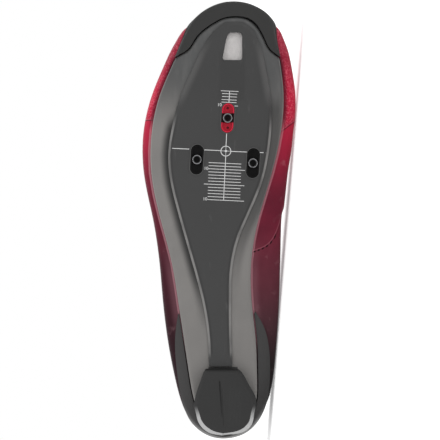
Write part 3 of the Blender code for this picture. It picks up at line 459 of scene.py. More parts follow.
def copy_of(node, name):
    """A piece that starts as the merged mesh of a CAD node, with quads where it had them."""
    source = frame["nodes"][node]
    thing = bpy.data.objects.new(name, source.data.copy())
    bpy.context.scene.collection.objects.link(thing)
    thing.data.name = name
    thing.data.materials.clear()
    pick(thing)
    if thing.data.has_custom_normals:
        bpy.ops.mesh.customdata_custom_splitnormals_clear()
    edit(thing,
         (bpy.ops.mesh.remove_doubles, {"threshold": 2e-6}),
         (bpy.ops.mesh.tris_convert_to_quads, {"face_threshold": math.radians(50),
                                               "shape_threshold": math.radians(80)}))
    return thing


def crease_edges(thing, angle, crease, where=None):
    """Crease the edges that fold by more than an angle, wholly or at places that where tells."""
    shape = bmesh.new()
    shape.from_mesh(thing.data)
    layer = shape.edges.layers.float.get("crease_edge") or shape.edges.layers.float.new("crease_edge")
    for edge in shape.edges:
        if len(edge.link_faces) == 2 and edge.calc_face_angle(0.0) > math.radians(angle):
            middle = STAND @ ((edge.verts[0].co + edge.verts[1].co) / 2)
            if where is None or where(middle):
                edge[layer] = crease
    shape.to_mesh(thing.data)
    shape.free()


def soften(thing, levels):
    """Subdivide a piece smoothly."""
    apply_modifier(thing, "SUBSURF", levels=levels, render_levels=levels)


def bevel(thing, width):
    """Break the sharp edges of a piece."""
    apply_modifier(thing, "BEVEL", width=width, segments=2, limit_method="ANGLE",
                   angle_limit=math.radians(40))


def corners(thing):
    """Each corner of a piece, and its place in the shoe's own frame."""
    for corner in thing.data.vertices:
        yield corner, STAND @ corner.co


def finish_piece(thing, material, body="shoe", replaces=(), angle=35.0):
    """Give a piece its material and shading, attach it to a body, and hide the parts that it replaces."""
    thing.data.materials.clear()
    thing.data.materials.append(material)
    pick(thing)
    bpy.ops.object.shade_smooth_by_angle(angle=math.radians(angle), keep_sharp_edges=False)
    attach(thing, body)
    if replaces:
        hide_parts(*replaces)
    return thing


def lay(thing):
    """Lay a piece that was modelled in the shoe's own frame down with the shoe."""
    pick(thing)
    thing.matrix_world = LAY @ thing.matrix_world
    bpy.ops.object.transform_apply(location=True, rotation=True, scale=True)


def sharp_faces_filled(thing, inside):
    """Take out the points of a piece that are inside an outline in plan, and close the holes."""
    shape = bmesh.new()
    shape.from_mesh(thing.data)
    for face in shape.faces:
        face.select_set(False)
    for corner in shape.verts:
        corner.select_set(inside(STAND @ corner.co))
    shape.select_flush(True)
    shape.to_mesh(thing.data)
    shape.free()
    pick(thing)
    bpy.ops.object.mode_set(mode="EDIT")
    bpy.ops.mesh.select_mode(type="VERT")
    bpy.ops.mesh.delete(type="VERT")
    bpy.ops.mesh.select_all(action="SELECT")
    bpy.ops.mesh.fill_holes(sides=0)
    bpy.ops.object.mode_set(mode="OBJECT")


def slot_cutter(centre):
    """A long round-ended cutter, from a cylinder whose two halves are moved apart."""
    bpy.ops.object.select_all(action="DESELECT")
    bpy.ops.mesh.primitive_cylinder_add(vertices=32, radius=SLOT_WIDTH / 2, depth=2 * CUT_REACH)
    cutter = bpy.context.active_object
    cutter.name = "slot_cutter"
    for corner in cutter.data.vertices:
        corner.co.x += math.copysign((SLOT_LENGTH - SLOT_WIDTH) / 2, corner.co.x + 1e-7)
    cutter.location = (*centre, 0.0)
    cutter.rotation_euler = (0.0, 0.0, SLOT_TURN)
    lay(cutter)
    return cutter


def window_cutter(low=-0.02, high=0.03):
    """A prism of the toe window's outline, from a cylinder whose points are moved."""
    bpy.ops.object.select_all(action="DESELECT")
    bpy.ops.mesh.primitive_cylinder_add(vertices=len(WINDOW), radius=1.0, depth=high - low)
    cutter = bpy.context.active_object
    cutter.name = "window_cutter"
    turn = 2 * math.pi / len(WINDOW)
    for corner in cutter.data.vertices:
        place = WINDOW[round(math.atan2(corner.co.y, corner.co.x) / turn) % len(WINDOW)]
        corner.co.x = place[0] * MILLIMETRE
        corner.co.y = place[1] * MILLIMETRE
    cutter.location = (0.0, 0.0, (low + high) / 2)
    lay(cutter)
    return cutter


def cut_out(thing, cutter, operation="DIFFERENCE"):
    """Cut a piece with a cutter, remove the cutter, and take out the idle points that the cut leaves."""
    apply_modifier(thing, "BOOLEAN", operation=operation, solver="EXACT", object=cutter)
    old = cutter.data
    bpy.data.objects.remove(cutter)
    bpy.data.meshes.remove(old)
    shape = bmesh.new()
    shape.from_mesh(thing.data)
    idle = [corner for corner in shape.verts if len(corner.link_edges) == 2]
    bmesh.ops.dissolve_verts(shape, verts=idle)
    shape.to_mesh(thing.data)
    shape.free()


def in_slot(place, centre, margin=0.0006):
    """Whether a place in the shoe's frame is inside a slot's outline or close to it, in plan."""
    shift = Vector((place.x - centre[0], place.y - centre[1]))
    along = shift.x * math.cos(SLOT_TURN) + shift.y * math.sin(SLOT_TURN)
    across = -shift.x * math.sin(SLOT_TURN) + shift.y * math.cos(SLOT_TURN)
    over = max(abs(along) - (SLOT_LENGTH - SLOT_WIDTH) / 2, 0.0)
    return math.hypot(over, across) < SLOT_WIDTH / 2 + margin


def swell(thing, swells, low, high):
    """Push a piece's sides outward; the push grows from a height, and fades towards the crown."""
    for corner, place in corners(thing):
        rise = min(1.0, max(0.0, (place.z - low) / (high - low)))
        fall = min(1.0, max(0.0, (CROWN - place.z) / CROWN_FADE))
        share = rise * fall * min(1.0, abs(place.y) / 0.012)
        push = sum(side * amount * math.exp(-((place.x - along) / reach) ** 2)
                   for along, reach, side, amount in swells if place.y * side > 0)
        if abs(push * share) > 0.00001:
            place.y += push * share
            corner.co = LAY @ place


def in_window(place, margin=0.0012):
    """Whether a place in the shoe's frame is inside the toe window's outline or close to it, in plan."""
    for first, second in zip(WINDOW, WINDOW[1:] + WINDOW[:1]):
        run = (Vector(second) - Vector(first)).normalized()
        away = place.to_2d() - Vector(first) * MILLIMETRE
        if run.x * away.y - run.y * away.x < -margin:
            return False
    return True


def edge_loops(thing, angle, wanted):
    """Chains of the edges that fold by more than an angle and whose middle is wanted, longest first."""
    shape = bmesh.new()
    shape.from_mesh(thing.data)
    shape.edges.index_update()
    sharp = [edge for edge in shape.edges
             if len(edge.link_faces) == 2 and edge.calc_face_angle(0.0) > math.radians(angle)
             and wanted(STAND @ ((edge.verts[0].co + edge.verts[1].co) / 2))]
    beside = {}
    for edge in sharp:
        for corner in edge.verts:
            beside.setdefault(corner.index, []).append(edge)
    loops = []
    used = set()
    for edge in sharp:
        if edge.index in used:
            continue
        used.add(edge.index)
        chain = [edge.verts[0], edge.verts[1]]
        for _ in range(2):
            ahead = [other for other in beside[chain[-1].index] if other.index not in used]
            while ahead:
                used.add(ahead[0].index)
                chain.append(ahead[0].other_vert(chain[-1]))
                ahead = [other for other in beside[chain[-1].index] if other.index not in used]
            chain.reverse()
        if len(chain) > SHORTEST_CHAIN:
            loops.append([corner.co.copy() for corner in chain])
    shape.free()
    return sorted(loops, key=len, reverse=True)


def map_rim(thing, loops, reach=0.012):
    """Give a piece a map of how far along its rims each corner is, and how far from them."""
    points = np.array([place for loop in loops for place in loop[:-1]])
    run = np.array([place for loop in loops for place in loop[1:]]) - points
    length = np.maximum(np.linalg.norm(run, axis=1), 1e-9)
    travel = np.concatenate([[0.0], np.cumsum(length)[:-1]])
    layer = thing.data.uv_layers.get("rim") or thing.data.uv_layers.new(name="rim")
    found = []
    for corner in thing.data.vertices:
        place = np.array(corner.co)
        share = np.clip(((place - points) * run).sum(1) / length ** 2, 0.0, 1.0)
        away = np.linalg.norm(points + run * share[:, None] - place, axis=1)
        near = int(np.argmin(away))
        found.append((float(travel[near] + share[near] * length[near]), float(min(away[near], reach))))
    for face in thing.data.polygons:
        places = [found[thing.data.loops[place].vertex_index] for place in face.loop_indices]
        # A face across the joint of the run takes its higher value, so that the map doesn't jump back
        high = max(place[0] for place in places)
        for place, (along, off) in zip(face.loop_indices, places):
            layer.data[place].uv = (high if high - along > 0.02 else along, off)


def plan_outline(node, stations=150):
    """A node's outermost edge in plan, as points in the shoe's frame."""
    data = frame["nodes"][node].data
    points = np.array([tuple(STAND @ corner.co) for corner in data.vertices])
    first = points[[edge.vertices[0] for edge in data.edges]]
    second = points[[edge.vertices[1] for edge in data.edges]]
    low, high = points[:, 0].min(), points[:, 0].max()
    lateral, medial = [], []
    for station in range(stations):
        along = low + (high - low) * (0.002 + 0.996 * station / (stations - 1))
        crosses = (first[:, 0] - along) * (second[:, 0] - along) < 0
        start, end = first[crosses], second[crosses]
        aside = start[:, 1] + (end[:, 1] - start[:, 1]) * (along - start[:, 0]) / (end[:, 0] - start[:, 0])
        lateral.append((float(along), float(aside.min())))
        medial.append((float(along), float(aside.max())))
    return lateral + medial[::-1]


def map_edge(thing, outline, reach=0.016):
    """Map how far each corner is outside an outline in plan; inside is less than 0."""
    points = np.array([tuple(place) for place in outline])
    ends = np.roll(points, -1, axis=0)
    run = ends - points
    square = np.maximum((run * run).sum(1), 1e-12)
    layer = thing.data.uv_layers.get("edge") or thing.data.uv_layers.new(name="edge")
    found = []
    for corner in thing.data.vertices:
        place = np.array((STAND @ corner.co).to_2d())
        share = np.clip(((place - points) * run).sum(1) / square, 0.0, 1.0)
        away = float(np.linalg.norm(points + run * share[:, None] - place, axis=1).min())
        crosses = (points[:, 1] > place[1]) != (ends[:, 1] > place[1])
        rise = np.where(run[:, 1] == 0, 1e-12, run[:, 1])
        side = points[:, 0] + (place[1] - points[:, 1]) / rise * run[:, 0]
        inside = int((crosses & (place[0] < side)).sum()) % 2 == 1
        found.append(max(-reach, min(reach, -away if inside else away)))
    for place, loop in enumerate(thing.data.loops):
        layer.data[place].uv = (found[loop.vertex_index] + reach, 0.0)


def tube_along(name, loop, radius, sides=10):
    """A closed round cord along a loop of points, from a curve made a mesh."""
    data = bpy.data.curves.new(name, "CURVE")
    data.dimensions = "3D"
    data.bevel_depth = radius
    data.bevel_resolution = sides // 4
    line = data.splines.new("NURBS")
    line.points.add(len(loop) - 1)
    for point, place in zip(line.points, loop):
        point.co = (*place, 1.0)
    line.use_cyclic_u = True
    line.order_u = 4
    line.resolution_u = 3
    thing = bpy.data.objects.new(name, data)
    bpy.context.scene.collection.objects.link(thing)
    pick(thing)
    bpy.ops.object.convert(target="MESH")
    return bpy.context.active_object


def in_groove(place):
    """Whether a place in the shoe's frame is in the heel pad's centre groove."""
    beside = GROOVE_LOW[1] < place.y < GROOVE_HIGH[1]
    return beside and GROOVE_LOW[0] < place.x < GROOVE_HIGH[0] and place.z < GROOVE_TOP


def colours():
    return bpy.context.scene.shoe_colours


def sizes():
    return bpy.context.scene.shoe_sizes


def wrap_seam(finish):
    """Millimetres in front of the wrap's seam on the inner side, below and above the bulge."""
    x, y, z = finish.x, finish.y, finish.z
    high = x - 148.6 + 32.2 * (((z - 23.2) / 69.2).clipped() ** 2.34)
    run = ((y - 17.0) / 18.9).most(0.0)
    slope = run ** 3.0 * 3.9 + 0.35
    low = (x - 121.0 - (y - 17.0) * 0.35 - run ** 4.0 * 18.4) / (slope * slope + 1.0).root()
    under = z.step(25.0, 22.0)
    return low * under + high * (1.0 - under)


def toe_seam(finish):
    """Millimetres in front of the toe panel's seam on the inner side, below and above the bulge."""
    x, y, z = finish.x, finish.y, finish.z
    high = x - 206.5 + 58.5 * (((z - 15.9) / 67.3).clipped() ** 2.47)
    low = (x - 201.3 - (y - 37.5) * 0.75) * 0.8
    under = z.step(17.0, 14.0) * y.step(0.0, 12.0)
    return low * under + high * (1.0 - under)


def upper_finish():
    """Coated microfibre: glittering red at the toe, wine at the waist and black at the heel."""
    tone = colours()
    finish = Finish("red_microfibre", roughness=0.5, specular=0.08)
    x, y, z = finish.x, finish.y, finish.z
    cloud = finish.noise(18.0, 2.0)
    fine = finish.noise(2.2, 3.0)
    above = finish.facing()[2]
    off = finish.off_edge()
    # The fade from toe to heel, darker on the outer side as painted shade, and paler on the inner side as a
    # painted sheen
    along = x + (cloud - 0.5) * 12.0
    inner = y.step(0.0, 12.0)
    front = along.step(150.0, 226.0)
    back = along.step(140.0, 40.0)
    finish.start(front, tone.waist, tone.toe)
    finish.over(back, tone.heel)
    # Painted shade: the outer side darker towards the heel
    outer_shade = (1.0 - inner) * x.step(190.0, 96.0)
    finish.over(outer_shade * 0.72, (0.022, 0.006, 0.010))
    # Painted sheen: a pale haze on the inner side at the heel and waist
    inner_sheen = inner * x.band(52.0, 128.0, 20.0)
    finish.over(inner_sheen * 0.22, (0.105, 0.062, 0.074))

    # Glitter of the toe panel with painted glints, painted shade at the toe's tip, and punched holes
    toe = toe_seam(finish)
    wrap = wrap_seam(finish)
    panel = toe.step(-0.2, 0.4)
    # Painted shade: the toe's tip darker
    toe_tip_shade = x.step(220.0, 250.0)
    finish.over(toe_tip_shade * 0.58, (0.10, 0.014, 0.024))
    spark = finish.flakes(0.5)
    # The glitter flakes are real; their pale pink colour is painted glints
    glitter_glint = spark.step(0.62, 0.95) * panel
    finish.over(glitter_glint * 0.45, (0.75, 0.18, 0.24))
    finish.over((spark.step(0.3, 0.0) * panel) * 0.40, (0.14, 0.002, 0.012))
    flat = abs(above).step(0.55, 0.75)
    side_dots = finish.dots(x, z, 3.2, 0.55, 0.12) * (1.0 - flat)
    top_dots = finish.dots(x, y, 3.2, 0.55, 0.12) * flat
    middle = wrap.step(8.0, 12.0) * toe.step(-8.0, -12.0) * inner
    outer = x.band(128.0, 196.0, 4.0) * (1.0 - inner)
    crown = z.step(22.0, 26.0) * x.step(258.0, 248.0)
    holes = (side_dots + top_dots).clipped() * (middle.most(outer).most(panel)) * crown
    finish.over(holes * 0.8, (0.008, 0.002, 0.004))

    # Seams: a groove, a painted highlight on the lip in front of it, and stitch rows
    groove = wrap.band(-0.30, 0.30, 0.25) * (1.0 - 0.6 * z.step(24.0, 22.0))
    groove = (groove * inner).most(toe.band(-0.3, 0.3, 0.25))
    finish.over(groove * 0.7, (0.012, 0.004, 0.006))
    # Painted highlight along the lip in front of each seam
    lip_highlight = (wrap.band(0.5, 1.1, 0.25) * inner).most(toe.band(0.4, 1.0, 0.25))
    finish.over(lip_highlight * 0.35, (0.42, 0.13, 0.17))
    dash = z.piece(2.6).band(0.16, 0.78, 0.04)
    rows = toe.band(1.5, 1.95, 0.1) * dash
    rows = rows.most(wrap.band(1.7, 2.15, 0.1) * dash * z.step(25.0, 26.0) * inner)
    pricks = wrap.band(-0.5, 0.5, 0.12) * inner
    pricks = pricks * y.piece(2.7).band(0.18, 0.66, 0.06) * y.step(32.0, 30.5)
    stitch = rows.clipped()
    finish.over(stitch * 0.65, (0.34, 0.05, 0.08))

    # Stitch rows and the dark edge of the collar's rim
    rim_along, rim_off = finish.along_rim()
    seam_rows = rim_off.band(3.0, 3.5, 0.1).most(rim_off.band(5.6, 6.1, 0.1))
    seam = seam_rows * rim_along.piece(2.8).band(0.14, 0.80, 0.04)
    finish.over(seam * 0.6, (0.20, 0.05, 0.07))
    edge = rim_off.step(1.9, 1.3)
    finish.over(edge * 0.7, (0.02, 0.008, 0.010))

    # Wear, blotchy darker tone, a dark joint at the toe, and painted shade and highlights along the sole
    scuff = finish.noise(7.0, 4.0).step(0.60, 0.80) * z.step(40.0, 10.0)
    finish.over(scuff * 0.16, (0.55, 0.30, 0.33))
    shade = (cloud - 0.42).clipped() * x.step(235.0, 150.0)
    finish.over(shade * 0.9, (0.022, 0.005, 0.010))
    under = above.step(-0.10, -0.40)
    # Painted shadow on the upper next to the frame at the toe
    tuck_shadow = off.step(3.4, 0.6) * x.step(198.0, 208.0) * under
    finish.over(tuck_shadow * 0.75, (0.06, 0.003, 0.010))
    joint = off.step(0.9, 0.3) * x.step(232.0, 238.0) * under
    finish.over(joint * 0.92, (0.006, 0.003, 0.004))
    # Painted highlight: a broad pink glow along the sole's edge
    sole_highlight = off.step(7.0, 1.0) * x.band(58.0, 118.0, 16.0) * under
    finish.over(sole_highlight * 0.30, (0.30, 0.13, 0.16))
    # Painted highlight: a thin pale line along the sole's edge
    line = off.band(0.1, 1.3, 0.35) * x.band(62.0, 203.0, 9.0) * under
    finish.over(line * 0.5, (0.55, 0.26, 0.30))
    finish.over(pricks * 0.92, (0.006, 0.002, 0.003))
    finish.feed("Roughness", 0.44 + 0.2 * fine - 0.14 * glitter_glint)
    grain = finish.noise(0.7, 3.0, 0.6)
    height = grain * 0.25 + 0.75 - holes * 0.75 - groove * 0.6 + stitch * 0.25 + seam * 0.25
    finish.end(height, 0.00035, 0.7)
    return finish.material


def frame_finish():
    """Moulded nylon: dark at the toe, paler behind the ball, with painted shade along the plate and on the
    inner side, and a painted sheen where it faces sideways.
    """
    tone = colours()
    finish = Finish("moulded_nylon", roughness=0.45, specular=0.3)
    x, y = finish.x, finish.y
    aside = finish.facing()[1]
    off = finish.off_edge()
    outer = y.step(2.0, -2.0)
    finish.start(x.step(240.0, 196.0), tone.frame, tone.frame_heel)
    # Painted shade: the inner side darker from the waist to the ball
    inner_shade = (1.0 - outer) * x.step(118.0, 158.0) * x.step(250.0, 225.0)
    finish.over(inner_shade * 0.42, (0.062, 0.063, 0.063))
    speckle = finish.noise(0.5, 2.0)
    cloud = finish.noise(26.0, 3.0)
    streak = finish.noise(5.0, 3.0, stretch=(0.15, 1.0, 1.0))
    finish.over((cloud - 0.45).clipped() * 0.5, (0.060, 0.060, 0.062))
    finish.over((streak - 0.5).clipped() * 0.5, (0.22, 0.215, 0.21))
    # Painted shade on the frame along both edges of the raised plate
    near = off.step(6.2, 0.6) * outer * x.step(62.0, 112.0) * x.step(214.0, 200.0)
    far = off.step(8.2, 3.6) * (1.0 - outer) * x.step(80.0, 150.0) * x.step(226.0, 212.0)
    finish.over(near * 0.93, 0.008)
    finish.over(far * 0.62, 0.018)
    # Painted sheen: the frame paler where it faces to the sides
    rim = abs(aside).step(0.55, 0.9)
    finish.over(rim * 0.35, (0.26, 0.25, 0.24))
    brow = x.band(43.6, 46.0, 0.3) * (y + 3.2).band(-9.6, 9.4, 0.6)
    finish.over(brow * 0.85, 0.004)
    finish.feed("Roughness", 0.40 + 0.14 * cloud)
    finish.end(speckle, 0.00005, 0.5)
    return finish.material


def plate_finish():
    """Moulded composite plate: fine grain, a pale thin edge and a pale toe bevel that are painted highlights,
    painted shade inside the edge and in the window's recess, and worn rims round the slots.
    """
    tone = colours()
    finish = Finish("composite_plate", roughness=0.42, specular=0.3)
    x, y = finish.x, finish.y
    cloud = finish.noise(30.0, 3.0)
    speckle = finish.noise(0.4, 2.0)
    off = finish.off_edge()
    finish.start(cloud * 0.4, tone.plate, tuple(part * 1.35 for part in tone.plate))
    # Painted highlight along the plate's edge bevel, broken up in places
    wear_and_highlight = finish.noise(6.0, 3.0, stretch=(0.25, 1.0, 1.0)).step(0.25, 0.60)
    line = off.band(-1.5, 0.6, 0.22) * x.step(214.0, 196.0) * x.step(51.0, 57.0)
    finish.over(line * (0.35 + 0.65 * wear_and_highlight), (0.180, 0.176, 0.172))
    # Painted shade on the plate just inside its edge
    shade = off.band(-2.9, -1.5, 0.5) * x.step(214.0, 196.0) * x.step(51.0, 57.0)
    finish.over(shade * 0.45, 0.014)
    # Painted highlight on the bevel at the plate's toe
    toe = x.step(212.0, 226.0) * off.step(-5.5, -1.0) * x.step(262.0, 244.0)
    finish.over(toe * 0.55, (0.095, 0.094, 0.093))
    for centre in SLOT_CENTRES:
        slot = finish.off_slot(centre)
        finish.over(slot.band(-0.6, 0.36, 0.12) * 0.45, (0.14, 0.138, 0.136))
        finish.over(slot.step(2.6, 0.4) * 0.25, 0.012)
    # Painted shade in the shallow recess round the toe window
    window = x.band(219.5, 252.0, 1.6) * (y - 2.2).band(-8.2, 8.6, 1.6)
    finish.over(window * 0.30, 0.018)
    scratch = finish.noise(3.0, 4.0, stretch=(0.2, 1.0, 1.0)).step(0.62, 0.80)
    finish.over(scratch * 0.16, 0.13)
    finish.feed("Roughness", 0.38 + 0.1 * cloud)
    finish.end(speckle * 0.06 + 0.9 - window * 0.85, 0.0006, 0.6)
    return finish.material


def pad_finish():
    """Rubber of the heel pad: fine ribs beside its middle, and a painted highlight on its rim at the rear."""
    tone = colours()
    finish = Finish("pad_rubber", roughness=0.66, specular=0.25)
    x, y = finish.x, finish.y
    cloud = finish.noise(9.0, 3.0)
    speckle = finish.noise(0.35, 3.0)
    toward, _, above = finish.facing()
    finish.start(cloud * 0.35, tone.pad, 0.032)
    ribs = (y + 0.05 * x).piece(0.95).band(0.25, 0.6, 0.12)
    zone = x.band(9.0, 32.0, 3.0) * y.band(0.2, 8.6, 1.0)
    line = (y + 2.8 + 0.05 * (x - 8.0)).band(-0.18, 0.18, 0.12) * x.band(8.0, 33.0, 1.0)
    finish.over(ribs * zone * 0.10, 0.07)
    finish.over(line * 0.8, 0.012)
    # Painted highlight on the bevel of the rear rim, picked by the way the surface faces
    worn = above.step(-0.95, -0.80) * above.step(-0.40, -0.62) * toward.step(0.15, -0.25)
    worn = worn * x.step(22.0, 12.0)
    finish.over(worn * 0.85, 0.47)
    brow = x.step(43.2, 44.6)
    finish.over(brow * 0.9, 0.002)
    finish.feed("Roughness", 0.6 + 0.12 * cloud)
    finish.end(speckle * 0.3 + ribs * zone * 0.25 - line * 0.8 + 0.4, 0.00015, 0.7)
    return finish.material


def liner_finish(name, tone, centre=None):
    """Moulded slot liner; the red one has a dark rivet at each end."""
    finish = Finish(name, roughness=0.42, specular=0.12)
    cloud = finish.noise(3.0, 3.0)
    finish.start(cloud * 0.4, tone, tuple(part * 0.55 for part in tone))
    if centre is not None:
        for shift in (6.5, -6.3):
            spot = finish.ring((centre[0] / MILLIMETRE + shift, centre[1] / MILLIMETRE), -1.0, 0.85, 0.12)
            finish.over(spot * 0.9, (0.05, 0.004, 0.008))
        middle = finish.x.band(centre[0] / MILLIMETRE - 2.9, centre[0] / MILLIMETRE + 3.1, 0.25)
        finish.over(middle * 0.98, 0.002)
    finish.feed("Roughness", 0.36 + 0.16 * cloud)
    finish.end(finish.noise(0.4, 2.0), 0.00004, 0.5)
    return finish.material


def nut_finish(name, centre):
    """Blackened steel nut with a worn, bright edge round its collar and bore."""
    finish = Finish(name, roughness=0.36, specular=0.12)
    cloud = finish.noise(1.6, 3.0)
    place = (centre[0] / MILLIMETRE, centre[1] / MILLIMETRE)
    worn = finish.noise(2.4, 2.0).step(0.30, 0.55)
    bright = finish.ring(place, 2.55, 3.02, 0.10) * (0.35 + 0.65 * worn)
    bright = (bright + finish.ring(place, 2.10, 2.24, 0.05) * 0.3).clipped() * finish.z.step(1.6, 1.0)
    finish.start(cloud, (0.0015, 0.0015, 0.0016), (0.006, 0.006, 0.0065))
    finish.over(bright, (0.28, 0.28, 0.29))
    finish.feed("Metallic", bright * 0.6)
    finish.feed("Roughness", 0.30 + 0.2 * cloud)
    finish.end(finish.noise(0.3, 2.0), 0.00003, 0.5)
    return finish.material


def vent_finish():
    """Woven mesh of the toe window."""
    finish = Finish("vent_mesh", roughness=0.75)
    x, y = finish.x, finish.y
    first = (x + y).piece(1.1)
    second = (x - y).piece(1.1)
    hole = first.band(0.3, 0.7, 0.12) * second.band(0.3, 0.7, 0.12)
    cloud = finish.noise(3.0, 2.0)
    finish.start(cloud, (0.48, 0.46, 0.455), (0.70, 0.68, 0.67))
    finish.over(hole * 0.5, (0.17, 0.16, 0.16))
    finish.end(1.0 - hole, 0.0003, 0.8)
    return finish.material


def rubber_finish(name, tone, roughness=0.62, pale=0.0):
    """Matt rubber, with a painted sheen, by a share, where it turns up round the heel."""
    finish = Finish(name, roughness=roughness, specular=0.25)
    cloud = finish.noise(9.0, 3.0)
    speckle = finish.noise(0.35, 3.0)
    finish.start(cloud * 0.35, tone, tuple(part * 1.6 + 0.004 for part in tone))
    if pale:
        # Painted sheen where the surface turns up round the heel
        turn = finish.facing()[2].step(-0.85, -0.45) * finish.x.step(34.0, 8.0)
        finish.over(turn * pale, (0.20, 0.198, 0.196))
    finish.feed("Roughness", roughness - 0.06 + 0.12 * cloud)
    finish.end(speckle, 0.00006, 0.6)
    return finish.material


def cloth_finish(name, tone, size=0.9):
    """Woven lining."""
    finish = Finish(name, roughness=0.85)
    weave = (finish.x * (2 * math.pi / size)).wave() * (finish.y * (2 * math.pi / size)).wave()
    shade = (weave * 0.5 + 0.5).clipped()
    finish.start(shade * 0.5, tone, tuple(part * 2.2 + 0.01 for part in tone))
    finish.end(shade, 0.0002, 0.6)
    return finish.material


def strap_finish():
    """Coated strap, with a stitched border that follows its edge."""
    finish = Finish("strap_leather", roughness=0.45, specular=0.25)
    along, off = finish.along_rim()
    fine = finish.noise(2.0, 3.0)
    grain = finish.noise(0.6, 3.0, 0.6)
    finish.start(finish.x.step(128.0, 200.0), (0.085, 0.010, 0.020), (0.26, 0.012, 0.034))
    finish.over(fine * 0.4, (0.05, 0.006, 0.012))
    edge = off.step(0.9, 0.5)
    finish.over(edge * 0.7, (0.016, 0.006, 0.008))
    stitch = off.band(1.9, 2.3, 0.08) * along.piece(2.6).band(0.16, 0.78, 0.04)
    finish.over(stitch * 0.7, (0.34, 0.06, 0.09))
    finish.feed("Roughness", 0.36 + 0.18 * fine)
    finish.end(grain * 0.3 + 0.5 + stitch * 0.3 - off.band(2.6, 3.0, 0.2) * 0.15, 0.0003, 0.7)
    return finish.material


class SHOE_OT_upper(Operator):
    """Round and finish the upper, with its creases, padded lining and bound rim"""

    bl_idname = "shoe.upper"
    bl_label = "Upper"

    def execute(self, context):
        thing = copy_of("upper", "upper_skin")
        rims = edge_loops(thing, 40.0, lambda place: place.z > RIM_LOWEST)
        if len(rims) < 2:
            raise RuntimeError("the upper's rim wasn't found")
        lining = self.lining(thing)
        soften(thing, sizes().levels)
        self.crease(thing)
        swell(thing, UPPER_SWELLS, low=0.013, high=0.021)
        map_rim(thing, rims[:1])
        map_edge(thing, plan_outline("outsole_frame"))
        finish_piece(thing, upper_finish(), replaces=("upper",), angle=50.0)
        middle = [(first + second) / 2 for first, second in zip(*self.matched(*rims[:2]))]
        binding = tube_along("rim_binding", middle, BINDING_RADIUS)
        finish_piece(binding, cloth_finish("binding_tape", (0.020, 0.008, 0.010), 0.7),
                     angle=60.0)
        finish_piece(lining, cloth_finish("collar_mesh", (0.022, 0.018, 0.019), 1.6),
                     angle=60.0)
        return {"FINISHED"}

    def matched(self, first, second):
        """The points of one loop, and the nearest point of the other to each."""
        other = np.array(second)
        near = [second[int(np.argmin(np.linalg.norm(other - np.array(place), axis=1)))] for place in first]
        return first[:-1], near[:-1]

    def lining(self, source):
        """The padded lining round the ankle, from the inner face of the wall."""
        thing = bpy.data.objects.new("collar_lining", source.data.copy())
        bpy.context.scene.collection.objects.link(thing)
        shape = bmesh.new()
        shape.from_mesh(thing.data)
        away = []
        turn = STAND.to_3x3()
        for face in shape.faces:
            middle = STAND @ face.calc_center_median()
            spine = Vector((min(max(middle.x, ANKLE[0]), ANKLE[1]), -0.002, middle.z))
            inside = (turn @ face.normal).dot(spine - middle) > 0.004
            if not (inside and middle.z > LINING_LOW and middle.x < LINING_FRONT):
                away.append(face)
        bmesh.ops.delete(shape, geom=away, context="FACES")
        shape.to_mesh(thing.data)
        shape.free()
        group = thing.vertex_groups.new(name="thick")
        for corner, place in corners(thing):
            share = min(1.0, max(0.12, (place.z - LINING_LOW) / 0.022))
            share *= min(1.0, max(0.12, (LINING_FRONT + 0.002 - place.x) / 0.020))
            group.add([corner.index], share, "REPLACE")
        apply_modifier(thing, "SOLIDIFY", thickness=LINING_THICKNESS, offset=1.0, vertex_group="thick",
                       thickness_vertex_group=0.0)
        soften(thing, sizes().levels)
        return thing

    def crease(self, thing):
        """Press soft creases into the vamp, where the ball of the foot bends."""
        for corner, place in corners(thing):
            depth = 0.0
            for along, lean, low, wide, deep in CREASES:
                line = along + lean * (place.z - CREASE_MIDDLE)
                across = (place.x - line) / wide
                rise = min(1.0, max(0.0, (place.z - low) / CREASE_RISE))
                depth += deep * math.exp(-across * across) * rise
            if abs(depth) > 0.00002:
                inward = (Vector((place.x, *FOOT_MIDDLE)) - place).normalized()
                corner.co = LAY @ (place + inward * depth)


class SHOE_OT_inside(Operator):
    """Soften the tongue and the insole"""

    bl_idname = "shoe.inside"
    bl_label = "Tongue and insole"

    def execute(self, context):
        tongue = copy_of("tongue", "tongue_pad")
        soften(tongue, sizes().levels)
        finish_piece(tongue, cloth_finish("tongue_mesh", (0.09, 0.008, 0.016)),
                     replaces=("tongue",), angle=50.0)
        insole = copy_of("insole", "insole_pad")
        crease_edges(insole, 40.0, 0.5)
        soften(insole, sizes().levels)
        finish_piece(insole, cloth_finish("insole_cloth", (0.02, 0.02, 0.022)),
                     replaces=("insole",), angle=50.0)
        return {"FINISHED"}


class SHOE_OT_straps(Operator):
    """Round the straps, and stitch their borders"""

    bl_idname = "shoe.straps"
    bl_label = "Straps"

    def execute(self, context):
        material = strap_finish()
        for name in ("rear", "middle", "front"):
            thing = copy_of("strap_" + name, name + "_strap_skin")
            rims = edge_loops(thing, 45.0, lambda place: True)
            crease_edges(thing, 45.0, 0.55)
            soften(thing, sizes().levels + 1)
            if not rims:
                raise RuntimeError("a strap's rim wasn't found")
            map_rim(thing, rims)
            finish_piece(thing, material, replaces=("strap_" + name,), angle=50.0)
        return {"FINISHED"}


class SHOE_OT_sole(Operator):
    """Smooth the sole's frame and plate, and cut their slots and window"""

    bl_idname = "shoe.sole"
    bl_label = "Sole"

    def execute(self, context):
        outline = plan_outline("carbon_plate")
        for node, name, material, crease in (
                ("outsole_frame", "frame_skin", frame_finish(), 0.35),
                ("carbon_plate", "plate_skin", plate_finish(), 0.55)):
            thing = copy_of(node, name)
            for centre in SLOT_CENTRES:
                sharp_faces_filled(thing, lambda place, centre=centre: in_slot(place, centre))
            sharp_faces_filled(thing, in_window)
            crease_edges(thing, 25.0, crease)
            soften(thing, sizes().levels)
            for centre in SLOT_CENTRES:
                cut_out(thing, slot_cutter(centre))
            cut_out(thing, window_cutter())
            map_edge(thing, outline)
            finish_piece(thing, material,
                         replaces=(node,), angle=30.0)
        return {"FINISHED"}


